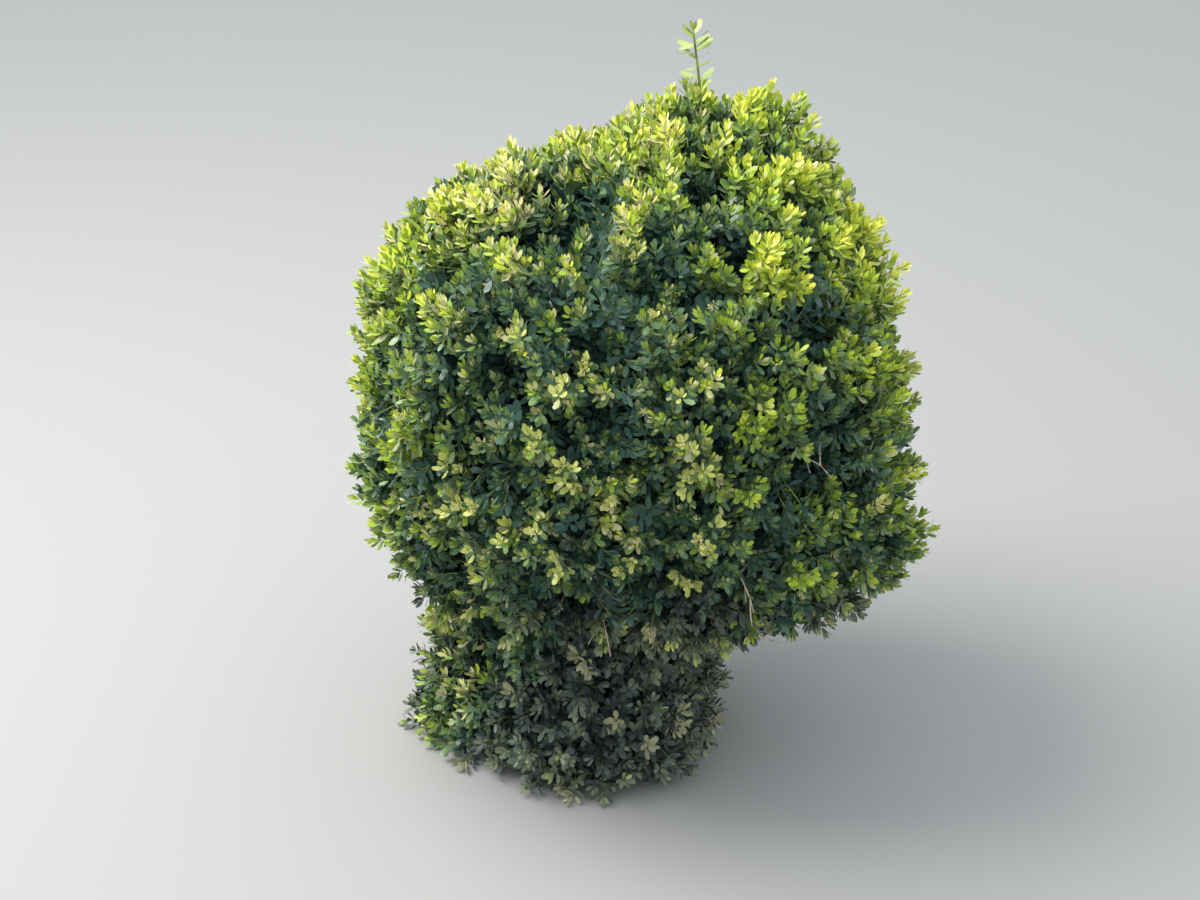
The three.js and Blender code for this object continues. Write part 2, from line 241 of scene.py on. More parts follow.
def patterned(name, pattern, surface, stops=(), gloss=None, ruffle=None, stretch=1):
    """A material with a fine pattern, which a stretch below 1 draws out along Z. Where they are given, its
    colour runs through the stops, and its gloss and its ruffle follow the pattern too."""
    material, tree = new_material(name)
    spot = add_node(tree, "ShaderNodeTexCoord").outputs["Object"]
    if stretch != 1:
        spot = add_node(tree, "ShaderNodeMapping", {"Scale": (1, 1, stretch)}, {"Vector": spot}).outputs[0]
    grain = add_node(tree, "ShaderNodeTexNoise", pattern, {"Vector": spot}).outputs[0]
    links = {}
    if stops:
        ramp = add_node(tree, "ShaderNodeValToRGB", links={"Fac": grain})
        elements = ramp.color_ramp.elements
        if len(stops) == 3:
            elements.new(0.5)
        for element, (position, colour) in zip(elements, stops):
            element.position = position
            element.color = linear(colour)
        links["Base Color"] = ramp.outputs["Color"]
    if gloss:
        links["Roughness"] = add_node(tree, "ShaderNodeMapRange", gloss, {"Value": grain}).outputs[0]
    if ruffle:
        links["Normal"] = add_node(tree, "ShaderNodeBump", ruffle, {"Height": grain}).outputs[0]
    add_surface(tree, surface, links)
    return material


old_wood = copy_of_solids("stem_and_boughs", ["stem", "leader", *BOUGHS])
forks = [(STEM_TOP, STEM_COLLAR_RADIUS, STEM_COLLAR_FLATNESS)]
forks += [(end_of(name, height, FORK_SLICE), BOUGH_COLLAR_RADIUS, 1.0) for name in BOUGHS]
grow_together(old_wood, forks, OLD_WOOD_VOXEL, OLD_WOOD_SMOOTHINGS)
carve_fissures(old_wood, lambda z: OLD_FISSURE_DEPTH * (1 - FISSURES_LOST * min(1, z / FISSURES_LOST_BY)))

# Old box bark: pale buff grey and corky, with fine long fissures that are darker and browner inside.
# It has no gloss. The pattern's pitch is that of real fissures, about four millimetres.
bark = patterned("old_box_bark", {"Scale": 1 / FISSURE_PITCH, "Detail": 5, "Roughness": 0.65},
                 {"Roughness": 0.88, "Specular IOR Level": 0.25},
                 stops=((0.36, "#4A3D30"), (0.5, "#857860"), (0.62, "#A39880")),
                 ruffle={"Strength": 0.6, "Distance": 0.0006}, stretch=FISSURE_STRETCH)
finish_wood(old_wood, bark, ["stem", "leader", *BOUGHS])


# Limbs and low branches
# One tapering limb runs from a bough's fork to each mass of the crown, and four low branches leave
# the stem for the foot. They are younger wood: greenish tan, thinner skinned and finely ridged.
LIMBS = [name for name in nodes if name.endswith("_limb")]
LOW_BRANCHES = [name for name in nodes if name.endswith("_branch")]
YOUNG_WOOD_VOXEL = 0.0014
YOUNG_WOOD_SMOOTHINGS = 2
YOUNG_FISSURE_DEPTH = 0.00025
RIDGE_STRETCH = 0.4

# Young box bark: thin and slightly waxy, olive brown in its fine ridges and tan between them.
young_bark = patterned("young_box_bark", {"Scale": 420, "Detail": 3},
                       {"Roughness": 0.7, "Specular IOR Level": 0.35},
                       stops=((0.35, "#5B5638"), (0.68, "#A2976C")),
                       ruffle={"Strength": 0.4, "Distance": 0.0003}, stretch=RIDGE_STRETCH)

for piece_name, sources in (("limbs", LIMBS), ("low_branches", LOW_BRANCHES)):
    young_wood = copy_of_solids(piece_name, sources)
    grow_together(young_wood, [], YOUNG_WOOD_VOXEL, YOUNG_WOOD_SMOOTHINGS)
    carve_fissures(young_wood, lambda z: YOUNG_FISSURE_DEPTH)
    finish_wood(young_wood, young_bark, sources)


# Sprays
# The ball has been clipped, so its shoots all end near one surface. Tips are dealt out over the outer
# faces of each CAD mass at the spacing of real shoots, and gathered into sprays that share a twig.
CROWN_MASSES = [n for n in nodes if n.startswith("crown_") and not n.endswith("_limb")]
FOOT_MASSES = [n for n in nodes if n.startswith("foot_") and not n.endswith("_branch")]
BALL_HEART = np.array([0.035, 0, 0.372])
BALL_REACH = 0.26
SHOOT_SPACING = 0.0094
SPRAY_SPACING = 0.0225
TRIES_PER_M2 = 110000
LOWEST_FACE = 0.004
FACE_SHARE = 0.6
AWAY_SHARE = 0.4
CLEFT_FROM = 0.78
CLEFT_TRIES_PER_M2 = TRIES_PER_M2 / 3
CLEFT_SPACING = 0.017
CLEFT_DEPTH = 0.012
CLEFT_FACE_SHARE = 0.45
# What sprays are like in the crown, and in the foot, where they are shorter, flatter, looser and more even.
CROWN_HABIT = {"facing": 0.4, "length": 0.058, "hollows": 1, "steps": 1, "outward": 0.45, "upward": 1.05,
               "scatter": 0.16, "room": 1}
FOOT_HABIT = {"facing": 0.2, "length": 0.046, "hollows": 0.3, "steps": 0.6, "outward": 0.6, "upward": 0.35,
              "scatter": 0.3, "room": 0.1}

HOLLOW_SIZE = 0.052
FINE_SHARE = 0.45
HOLLOW_LEVELS = (-0.22, -0.75)
HOLLOW_DEPTH = 0.036
SEEN_HOLLOW_STRENGTH = 1.45
DEEPEST = 0.050
LEAST_FACING = 0.4
PROUD_LIFT = 0.8
PROUD_LEVELS = (0.1, 0.6)
PROUD_HEIGHT = 0.010
PROMINENT_SHARE = 0.46
PROMINENT_BY_FLUSH = 0.6
TOO_DEEP_TO_STAND_OUT = 0.55
PROMINENT_STEP = (-0.004, 0.002)
SUBDUED_STEP = (0.008, 0.021)
LOWEST_TIP = 0.006
# The deepest hollows that the photograph shows: a place on the crown and a radius.
SEEN_HOLLOWS = (
    (-0.020, -0.140, 0.583, 0.034), (-0.052, -0.155, 0.565, 0.022), (-0.125, -0.125, 0.530, 0.018),
    (-0.095, -0.150, 0.535, 0.017), (-0.185, -0.150, 0.420, 0.026), (0.085, -0.125, 0.600, 0.024),
    (0.015, -0.200, 0.527, 0.024), (-0.100, -0.220, 0.387, 0.024), (0.180, -0.185, 0.502, 0.024),
    (-0.075, -0.225, 0.467, 0.024), (-0.160, -0.180, 0.360, 0.022), (0.060, -0.215, 0.512, 0.022),
    (0.095, -0.200, 0.532, 0.022), (-0.005, -0.230, 0.497, 0.022), (-0.185, -0.125, 0.457, 0.020),
    (0.012, -0.246, 0.447, 0.022), (0.167, -0.231, 0.381, 0.026), (-0.031, -0.239, 0.273, 0.028),
    (-0.113, -0.211, 0.297, 0.022))
# Tufts that stand out of the plant's outline: a place, a radius and an extra height.
SEEN_PROUD = (
    (0.095, -0.010, 0.613, 0.055, 0.004), (0.019, -0.014, 0.615, 0.030, 0.006),
    (-0.078, -0.004, 0.587, 0.026, 0.006), (0.150, 0.030, 0.600, 0.030, 0.004),
    (-0.165, -0.160, 0.450, 0.030, 0.004), (0.268, -0.113, 0.404, 0.030, 0.004),
    (-0.146, -0.060, 0.175, 0.040, 0.020), (-0.146, -0.010, 0.100, 0.045, 0.024))
# The brightest flushes of new leaves that the photograph shows: a place, a radius and a strength.
SEEN_FLUSHES = (
    (0.110, 0.002, 0.613, 0.065, 0.26), (0.092, -0.035, 0.619, 0.036, 0.36),
    (0.019, -0.014, 0.615, 0.045, 0.20), (-0.078, -0.004, 0.587, 0.030, 0.20),
    (-0.045, -0.055, 0.595, 0.050, 0.26), (-0.090, -0.070, 0.577, 0.045, 0.28),
    (-0.135, -0.070, 0.550, 0.045, 0.28), (0.185, -0.020, 0.593, 0.035, 0.22),
    (0.240, -0.065, 0.520, 0.050, 0.18), (0.263, -0.086, 0.479, 0.050, 0.17),
    (0.268, -0.113, 0.404, 0.055, 0.20), (0.280, -0.105, 0.335, 0.030, 0.24),
    (-0.190, -0.045, 0.510, 0.030, 0.26), (-0.190, -0.090, 0.485, 0.030, 0.26),
    (-0.210, -0.080, 0.455, 0.030, 0.22), (-0.215, -0.075, 0.345, 0.035, 0.26),
    (-0.181, -0.128, 0.333, 0.045, 0.20), (-0.030, -0.175, 0.547, 0.018, 0.30),
    (-0.007, -0.241, 0.341, 0.030, 0.16), (-0.150, -0.031, 0.082, 0.030, 0.56),
    (-0.160, -0.060, 0.032, 0.025, 0.48))

dice = np.random.default_rng(17)
UP = np.array([0, 0, 1.0])


def unit(vectors):
    """These vectors at length one."""
    return vectors / np.maximum(np.linalg.norm(vectors, axis=-1, keepdims=True), 1e-9)


def ramp_between(values, start, end):
    """Rises smoothly from 0 at start to 1 at end, whichever of the two is greater."""
    share = np.clip((values - start) / (end - start), 0, 1)
    return share * share * (3 - 2 * share)


def noise_at(places, size, shift):
    """Smooth noise from about -1 to 1 at each place, with swells of this size. Every use has its shift."""
    offset = Vector((shift, 2 * shift, -shift))
    return np.array([noise.noise(Vector(p) / size + offset) for p in places])


def nearness(places, middle, radius):
    """1 at the middle, falling smoothly to nothing at about twice the radius."""
    return np.exp(-((np.linalg.norm(places - np.array(middle), axis=1) / radius) ** 2))


def hollows_near(places, widened=1):
    """How near each place is to one of the hollows that the photograph shows: 1 at its middle."""
    return np.max([nearness(places, place, widened * radius) for *place, radius in SEEN_HOLLOWS], axis=0)


def flushes_at(places):
    """How strongly the shoots have flushed at each place, by the brightest flushes alone."""
    return sum(strength * nearness(places, place, radius) for *place, radius, strength in SEEN_FLUSHES)


def away(places, is_foot):
    """The way out of the plant at each place: from the ball's heart, or from the stem in the foot."""
    if is_foot:
        return unit(places * np.array([1, 1, 0]))
    return unit(places - BALL_HEART)


def outer_triangles(name, is_foot, facing):
    """The corners, areas and normals of a mass's triangles, once for those that look out of the plant and
    once for its sides, where it faces the next mass across a cleft."""
    mesh = nodes[name].data
    mesh.calc_loop_triangles()
    corners = vertex_rows(mesh, "co")[[list(t.vertices) for t in mesh.loop_triangles]]
    crossed = np.cross(corners[:, 1] - corners[:, 0], corners[:, 2] - corners[:, 0])
    areas = np.linalg.norm(crossed, axis=1) / 2
    normals = unit(crossed)
    middles = corners.mean(axis=1)
    outward = (normals * away(middles, is_foot)).sum(axis=1)
    above_ground = middles[:, 2] > LOWEST_FACE
    outer = (outward > facing) & above_ground
    side = (np.abs(outward) < facing) & above_ground
    return [(corners[keep], areas[keep], normals[keep]) for keep in (outer, side)]


def scattered(corners, areas, normals, per_m2):
    """Random places on these triangles, with the triangles' normals there."""
    tries = int(areas.sum() * per_m2)
    picked = dice.choice(len(areas), tries, p=areas / areas.sum())
    a = np.sqrt(dice.random(tries))[:, None]
    b = dice.random(tries)[:, None]
    spots = corners[picked, 0] * (1 - a) + corners[picked, 1] * a * (1 - b) + corners[picked, 2] * a * b
    return spots, normals[picked]


def spaced(places, spacing, taken):
    """The indices of places that keep this spacing from each other and from those in taken."""
    kept = []
    cells = np.floor(places / spacing).astype(int)
    for i, place in enumerate(places):
        cx, cy, cz = cells[i]
        near = [q for dx in (-1, 0, 1) for dy in (-1, 0, 1) for dz in (-1, 0, 1)
                for q in taken.get((cx + dx, cy + dy, cz + dz), ())]
        if all((place[0] - q[0]) ** 2 + (place[1] - q[1]) ** 2 + (place[2] - q[2]) ** 2 > spacing ** 2
               for q in near):
            taken.setdefault((cx, cy, cz), []).append(place)
            kept.append(i)
    return kept


taken_by_shoots = {}
taken_by_sprays = {}
sprays = []
for mass in CROWN_MASSES + FOOT_MASSES:
    is_foot = mass in FOOT_MASSES
    habit = FOOT_HABIT if is_foot else CROWN_HABIT
    outer, side = outer_triangles(mass, is_foot, habit["facing"])
    spots, normals = scattered(*outer, TRIES_PER_M2)
    tip_ids = spaced(spots, SHOOT_SPACING, taken_by_shoots)
    tips = spots[tip_ids]
    outs = unit(normals[tip_ids] * FACE_SHARE + away(tips, is_foot) * AWAY_SHARE)
    centre_ids = spaced(tips, SPRAY_SPACING, taken_by_sprays)
    centre_tips = tips[centre_ids]
    centre_outs = outs[centre_ids]
    inward = np.zeros(len(tips))
    if not is_foot:
        spots, normals = scattered(*side, CLEFT_TRIES_PER_M2)
        reach = np.linalg.norm(spots - BALL_HEART, axis=1) / BALL_REACH
        spots, normals = spots[reach > CLEFT_FROM], normals[reach > CLEFT_FROM]
        tip_ids = spaced(spots, CLEFT_SPACING, {})
        tips = np.concatenate([tips, spots[tip_ids]])
        outs = np.concatenate([outs, unit(normals[tip_ids] * CLEFT_FACE_SHARE + away(spots[tip_ids], False))])
        inward = np.concatenate([inward, np.full(len(tip_ids), CLEFT_DEPTH)])
    lookup = KDTree(len(centre_ids))
    for k, tip in enumerate(centre_tips):
        lookup.insert(tip, k)
    lookup.balance()
    owners = np.array([lookup.find(tip)[1] for tip in tips])
    for k, tip in enumerate(centre_tips):
        mine = np.nonzero(owners == k)[0]
        sprays.append({"mass": mass, "is_foot": is_foot, "habit": habit, "centre": tip, "out": centre_outs[k],
                       "tips": tips[mine], "outs": outs[mine], "inward": inward[mine]})


def of_sprays(key):
    """One value of every spray, as an array."""
    return np.array([s[key] for s in sprays])


# Hollows between the sprays are up to five centimetres deep, and other sprays stand a little proud.
centres = of_sprays("centre")
unevenness = noise_at(centres, HOLLOW_SIZE, 3.7)
unevenness += FINE_SHARE * noise_at(centres, HOLLOW_SIZE * FINE_SHARE, 9.1)
extra = np.zeros(len(centres))
for *place, radius, extra_height in SEEN_PROUD:
    unevenness += PROUD_LIFT * nearness(centres, place, radius)
    extra += extra_height * nearness(centres, place, radius)
# A sunken spray shows lower and further in than it stood, so hollows are measured where their floor shows.
to_camera = unit(np.array(CAMERA_PLACE) - centres)
facing = np.maximum((of_sprays("out") * to_camera).sum(axis=1, keepdims=True), LEAST_FACING)
shown = centres + HOLLOW_DEPTH * (to_camera / facing - of_sprays("out"))
pits = hollows_near(shown)
for spray, level, pit, more, flush in zip(sprays, unevenness, pits, extra, flushes_at(centres)):
    habit = spray["habit"]
    hollow = max(ramp_between(level, *HOLLOW_LEVELS), SEEN_HOLLOW_STRENGTH * pit)
    sunk = HOLLOW_DEPTH * hollow * habit["hollows"]
    proud = PROUD_HEIGHT * ramp_between(level, *PROUD_LEVELS) * (1 - pit) + more
    share = PROMINENT_SHARE + PROMINENT_BY_FLUSH * flush if pit < TOO_DEEP_TO_STAND_OUT else 0
    spray["prominent"] = dice.random() < share
    step = dice.uniform(*(PROMINENT_STEP if spray["prominent"] else SUBDUED_STEP))
    spray["depth"] = min(DEEPEST, sunk - proud + step * habit["steps"])
    middle = spray["tips"][spray["inward"] == 0].mean(axis=0)
    spray["base"] = middle - spray["out"] * (habit["length"] + sunk)
    spray["base"][2] = max(spray["base"][2], LOWEST_TIP)


# Twigs
# From the end of each limb the wood forks in two again and again, each fork serving half of the
# sprays, until every spray has its own twig. A twig's girth follows from how many sprays it serves.
TWIG_POINTS = 5
TWIG_SIDES = 4
FIRST_TWIG_RADIUS = 0.0019
SPRAY_TWIG_RADIUS = 0.00075
GIRTH_POWER = 0.23
FORK_TAPER = 1.15
FORK_SHARE = 0.42
FORK_SPREAD = (0.85, 1.15)
SERVED_SPREAD = (0.38, 0.62)
COURSE_KEPT_ON_THE_WAY = 0.35
COURSE_KEPT_AT_FORK = 0.6
TURN_AT_FORK = 0.7
STEM_HEART = np.array([0, 0, 0.04])
BOUGHS_HEART = BALL_HEART * np.array([1, 1, 0.6])
LIMB_END = 0.0015
LIMB_LAST_STRETCH = 0.02
forking = random.Random(5)
twig_paths = []
twig_radii = []


def bent_path(start, leaving, end, arriving, points):
    """Points on a curve that leaves start one way and arrives at end another way."""
    pull = np.linalg.norm(end - start)
    t = np.linspace(0, 1, points)[:, None]
    return ((2 * t ** 3 - 3 * t ** 2 + 1) * start + (t ** 3 - 2 * t ** 2 + t) * leaving * pull
            + (3 * t ** 2 - 2 * t ** 3) * end + (t ** 3 - t ** 2) * arriving * pull)


def girth(served):
    """The radius of a twig that serves this many sprays."""
    return SPRAY_TWIG_RADIUS * served ** GIRTH_POWER


def grow(start, heading, served, first_radius):
    """Adds a twig towards the middle of the sprays that it serves, then forks in two."""
    bases = np.array([s["base"] for s in served])
    middle = bases.mean(axis=0)
    if len(served) == 1:
        twig_paths.append(bent_path(start, heading, bases[0], served[0]["out"], TWIG_POINTS))
        twig_radii.append(np.linspace(first_radius, SPRAY_TWIG_RADIUS, TWIG_POINTS))
        return
    fork = start + (middle - start) * FORK_SHARE * forking.uniform(*FORK_SPREAD)
    arriving = unit(unit(middle - start) + heading * COURSE_KEPT_ON_THE_WAY)
    radius = girth(len(served))
    twig_paths.append(bent_path(start, heading, fork, arriving, TWIG_POINTS))
    twig_radii.append(np.linspace(first_radius, radius, TWIG_POINTS))
    widest = np.linalg.svd(bases - middle)[2][0]
    order = np.argsort((bases - middle) @ widest)
    cut = max(1, min(len(served) - 1, round(len(served) * forking.uniform(*SERVED_SPREAD))))
    for group in (order[:cut], order[cut:]):
        towards = unit(bases[group].mean(axis=0) - fork)
        grow(fork, unit(arriving * COURSE_KEPT_AT_FORK + towards * TURN_AT_FORK),
             [served[i] for i in group], min(radius, girth(len(group)) * FORK_TAPER))


def distance_from(root):
    """A measure of how far from root places are."""
    return lambda places: np.linalg.norm(places - root, axis=1)


for mass in CROWN_MASSES + FOOT_MASSES:
    is_foot = mass in FOOT_MASSES
    carrier = mass + ("_branch" if is_foot else "_limb")
    reached = distance_from(STEM_HEART if is_foot else BOUGHS_HEART)
    limb_end = end_of(carrier, reached, LIMB_END)
    heading = unit(limb_end - end_of(carrier, reached, LIMB_LAST_STRETCH))
    grow(limb_end, heading, [s for s in sprays if s["mass"] == mass], FIRST_TWIG_RADIUS)


def new_mesh(name, places, faces, smooth=True):
    """A mesh of these places and faces, which is shaded smooth or flat."""
    mesh = bpy.data.meshes.new(name)
    mesh.from_pydata(places.reshape(-1, 3).tolist(), [], faces)
    mesh.polygons.foreach_set("use_smooth", np.full(len(faces), smooth))
    mesh.update()
    return mesh


def tube_mesh(name, paths, radii, sides):
    """One mesh of closed tapering tubes. paths is tubes by points by 3, and radii is tubes by points."""
    paths = np.asarray(paths)
    radii = np.asarray(radii)
    tubes, points = radii.shape
    ahead = unit(np.gradient(paths, axis=1))
    helper = np.eye(3)[np.abs(ahead.mean(axis=1)).argmin(axis=1)][:, None, :]
    across = unit(np.cross(helper, ahead))
    over = np.cross(ahead, across)
    turn = 2 * math.pi * np.arange(sides) / sides
    ring = (np.cos(turn)[:, None] * across[:, :, None, :] + np.sin(turn)[:, None] * over[:, :, None, :])
    places = paths[:, :, None, :] + radii[:, :, None, None] * ring
    number = np.arange(tubes * points * sides).reshape(tubes, points, sides)
    beside = np.roll(number, -1, axis=2)
    walls = np.stack([number[:, :-1], beside[:, :-1], beside[:, 1:], number[:, 1:]], axis=-1)
    faces = walls.reshape(-1, 4).tolist()
    faces += number[:, 0, ::-1].tolist()
    faces += number[:, -1].tolist()
    return new_mesh(name, places, faces)


def add_piece(name, mesh, material, replaced):
    """Puts a finished mesh into the scene as one piece of the plant."""
    piece = bpy.data.objects.new(name, mesh)
    scene.collection.objects.link(piece)
    mesh.materials.append(material)
    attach(piece, "root")
    if replaced:
        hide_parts(*replaced)


add_piece("twigs", tube_mesh("twigs", twig_paths, twig_radii, TWIG_SIDES), young_bark,
          CROWN_MASSES + FOOT_MASSES)


# Shoots
# This year's and last year's growth: thin green stems, several to a spray, that leave the spray's twig
# one after another and bend towards the light before they end at the clipped surface.
SHOOT_POINTS = 5
SHOOT_SIDES = 3
SHOOT_RADII = (0.0007, 0.0004)
LEADER_POINTS = 9
LAST_LEAVING = 0.45
SPRAY_COURSE_KEPT = 0.8
TURN_TO_TIP = 0.6
FAN = 0.35
UPWARD_FROM = (-1.0, -0.1)
DOME_DROP = 0.012
DOME_RADIUS = 0.0128
DOME_LIMIT = 1.8
SHORTFALL_SPREAD = (-0.003, 0.004)
LEAF_ROOM = 0.005
CLEFT_LEAF_ROOM = 0.002
NOT_DOWN_BELOW = 0.03
LOWEST_STEM = 0.002
shoot_paths = []
shoot_sprays = []
shoot_shortfalls = []

for number, spray in enumerate(sprays):
    tips = spray["tips"]
    outs = spray["outs"]
    habit = spray["habit"]
    off_centre = tips - spray["centre"]
    upward = habit["upward"] * ramp_between(outs[:, 2:], *UPWARD_FROM)
    scatter = dice.normal(0, habit["scatter"], tips.shape)
    ends = unit(outs * habit["outward"] + UP * upward + scatter + FAN * off_centre / DOME_RADIUS)
    domed = DOME_DROP * np.minimum((np.linalg.norm(off_centre, axis=1) / DOME_RADIUS) ** 2, DOME_LIMIT)
    shortfall = domed + dice.uniform(*SHORTFALL_SPREAD, len(tips))
    in_cleft = spray["inward"] > 0
    shortfall = np.where(in_cleft, spray["inward"], shortfall)
    level = spray["depth"] + LEAF_ROOM * habit["room"] + shortfall
    tips = tips - outs * np.where(in_cleft, CLEFT_LEAF_ROOM, level)[:, None]
    tips[:, 2] = np.maximum(tips[:, 2], LOWEST_TIP)
    ends[:, 2] = np.where(tips[:, 2] < NOT_DOWN_BELOW, np.maximum(ends[:, 2], 0.0), ends[:, 2])
    order = np.argsort(np.linalg.norm(tips - tips.mean(axis=0), axis=1))
    leader_path = bent_path(spray["base"], spray["out"], tips[order[0]], ends[order[0]], LEADER_POINTS)
    for rank, i in enumerate(order):
        share = LAST_LEAVING * rank / len(order)
        start = leader_path[int(round(share * (LEADER_POINTS - 1)))]
        leaving = unit(spray["out"] * SPRAY_COURSE_KEPT + unit(tips[i] - start) * TURN_TO_TIP)
        shoot_paths.append(bent_path(start, leaving, tips[i], ends[i], SHOOT_POINTS))
        shoot_sprays.append(number)
        shoot_shortfalls.append(shortfall[i])
shoot_paths = np.array(shoot_paths)
shoot_paths[..., 2] = np.maximum(shoot_paths[..., 2], LOWEST_STEM)
shoot_sprays = np.array(shoot_sprays)
shoot_shortfalls = np.array(shoot_shortfalls)
shoot_radii = np.tile(np.linspace(*SHOOT_RADII, SHOOT_POINTS), (len(shoot_paths), 1))

# Green box stem: yellowish green and faintly shiny, a little browner in places.
green_stem = patterned("green_box_stem", {"Scale": 60, "Detail": 2},
                       {"Roughness": 0.5, "Specular IOR Level": 0.4},
                       stops=((0.35, "#5F6B33"), (0.7, "#8C9A4C")))
add_piece("shoots", tube_mesh("shoots", shoot_paths[:, ::2], shoot_radii[:, ::2], SHOOT_SIDES), green_stem,
          CROWN_MASSES + FOOT_MASSES)


# Leaves on the shoots
# Box leaves stand in opposite pairs, each pair at right angles to the next: leathery, glossy, oval with
# the widest part past the middle, edges rolled down. They crowd at a shoot's tip, and spread with age.
LEAF_LENGTH = 0.0106
LEAF_WIDTH_SHARE = 0.43
ROUND_OUTLINE = ((0.28, 0.18), (0.5, 0.52), (0.34, 0.86))
PLAIN_OUTLINE = ((0.45, 0.36), (0.44, 0.77))
EDGE_ROLL = 0.16
TIP_DROOP = 0.12
TIP_FROM = 0.6
FOOT_DROP = 0.04
PAIR_DISTANCES = np.array([0.0004, 0.0025, 0.0052, 0.0085, 0.0125, 0.0175, 0.0240, 0.0320])
PAIR_ANGLES = np.radians([11, 20, 29, 38, 47, 56, 65, 73])
PAIR_SIZES = np.array([0.66, 0.86, 1.0, 1.06, 1.12, 1.2, 1.3, 1.4])
PAIRS = len(PAIR_DISTANCES)
ROUND_PAIRS = 3
PAIR_STRETCH = (0.85, 1.25)
BARE_FOOT_OF_SHOOT = 0.92
AXIS_STEP = 0.004
TURN_SPREAD = 0.22
ANGLE_SPREAD = 0.13
FOOT_EXTRA_ANGLE = 0.22
LEAF_OFFSET = 0.0005
LIGHT_PULL = 0.35
LIGHT_FROM_OUTSIDE = 0.5
LIGHT_FROM_ABOVE = 0.6
FACE_SPREAD = 0.16
LENGTH_SPREAD = (0.82, 1.18)
FOOT_LENGTH = 1.08
WIDTH_SPREAD = (0.86, 1.14)
CURL_SPREAD = (0.5, 1.9)
LOWEST_LEAF = 0.0008


def leaf_blade(half_outline):
    """A leaf one unit long from one filled circle, shaped into the outline and rolled down at its edges."""
    select_only()
    corners = 2 * len(half_outline) + 2
    bpy.ops.mesh.primitive_circle_add(vertices=corners, radius=0.5, fill_type="NGON")
    blade = bpy.context.object
    outline = [(0, 0), *half_outline, (0, 1), *[(-x, y) for x, y in reversed(half_outline)]]
    rim = sorted(blade.data.vertices, key=lambda v: math.atan2(v.co.x, -v.co.y) % (2 * math.pi))
    for vertex, (x, y) in zip(rim, outline):
        vertex.co = (x, y, -EDGE_ROLL * abs(x) - TIP_DROOP * max(0, y - TIP_FROM) - FOOT_DROP * (y == 0))
    places = vertex_rows(blade.data, "co")
    number = [v.index for v in rim]
    bpy.data.objects.remove(blade)
    faces = []
    for k in range(1, corners // 2):
        right, left = number[k], number[-k]
        next_right, next_left = number[k + 1], number[-k - 1]
        if k == 1:
            faces.append((number[0], right, left))
        if next_right == next_left:
            faces.append((right, next_right, left))
        else:
            faces += [(right, next_right, left), (next_right, next_left, left)]
    return places, np.array(faces)


ROUND_BLADE = leaf_blade(ROUND_OUTLINE)
PLAIN_BLADE = leaf_blade(PLAIN_OUTLINE)


def blades(rows, chosen, blade):
    """The places and faces of all the chosen leaves, each at its place, turned and sized."""
    blade_places, blade_faces = blade
    along, up = (rows[key][chosen][:, None] for key in ("along", "up"))
    side = np.cross(along, up)
    size, width, curl = (rows[key][chosen][:, None, None] for key in ("length", "width", "curl"))
    places = rows["foot"][chosen][:, None] + size * (
        side * width * blade_places[None, :, :1] + along * blade_places[None, :, 1:2]
        + up * curl * blade_places[None, :, 2:])
    places[..., 2] = np.maximum(places[..., 2], LOWEST_LEAF)
    faces = blade_faces[None] + len(blade_places) * np.arange(len(chosen))[:, None, None]
    return places.reshape(-1, 3), faces.reshape(-1, 3)


def leaf_mesh(name, rows, chosen):
    """One mesh of the chosen leaves. Those near a shoot's tip are rounder, and older ones plainer."""
    near_tip = rows["pair"][chosen] < ROUND_PAIRS
    places, faces = blades(rows, chosen[near_tip], ROUND_BLADE)
    more_places, more_faces = blades(rows, chosen[~near_tip], PLAIN_BLADE)
    faces = np.concatenate([faces, more_faces + len(places)])
    return new_mesh(name, np.concatenate([places, more_places]), faces.tolist())


def square_to(vectors, axes):
    """These vectors, tilted until they are square to the axes, at length one."""
    return unit(vectors - axes * (vectors * axes).sum(axis=1, keepdims=True))


shoots = len(shoot_paths)
steps = np.linalg.norm(np.diff(shoot_paths, axis=1), axis=2)
from_tip = np.concatenate([np.zeros((shoots, 1)), np.cumsum(steps[:, ::-1], axis=1)], axis=1)
backwards = shoot_paths[:, ::-1]
stretch = dice.uniform(*PAIR_STRETCH, shoots)
at = np.minimum(PAIR_DISTANCES[None] * stretch[:, None], BARE_FOOT_OF_SHOOT * from_tip[:, -1:])
stations = np.empty((shoots, PAIRS, 3))
axes = np.empty((shoots, PAIRS, 3))
for i in range(shoots):
    for axis in range(3):
        stations[i, :, axis] = np.interp(at[i], from_tip[i], backwards[i, :, axis])
        below = np.interp(at[i] + AXIS_STEP, from_tip[i], backwards[i, :, axis])
        above = np.interp(np.maximum(at[i] - AXIS_STEP, 0), from_tip[i], backwards[i, :, axis])
        axes[i, :, axis] = above - below
axes = unit(axes)

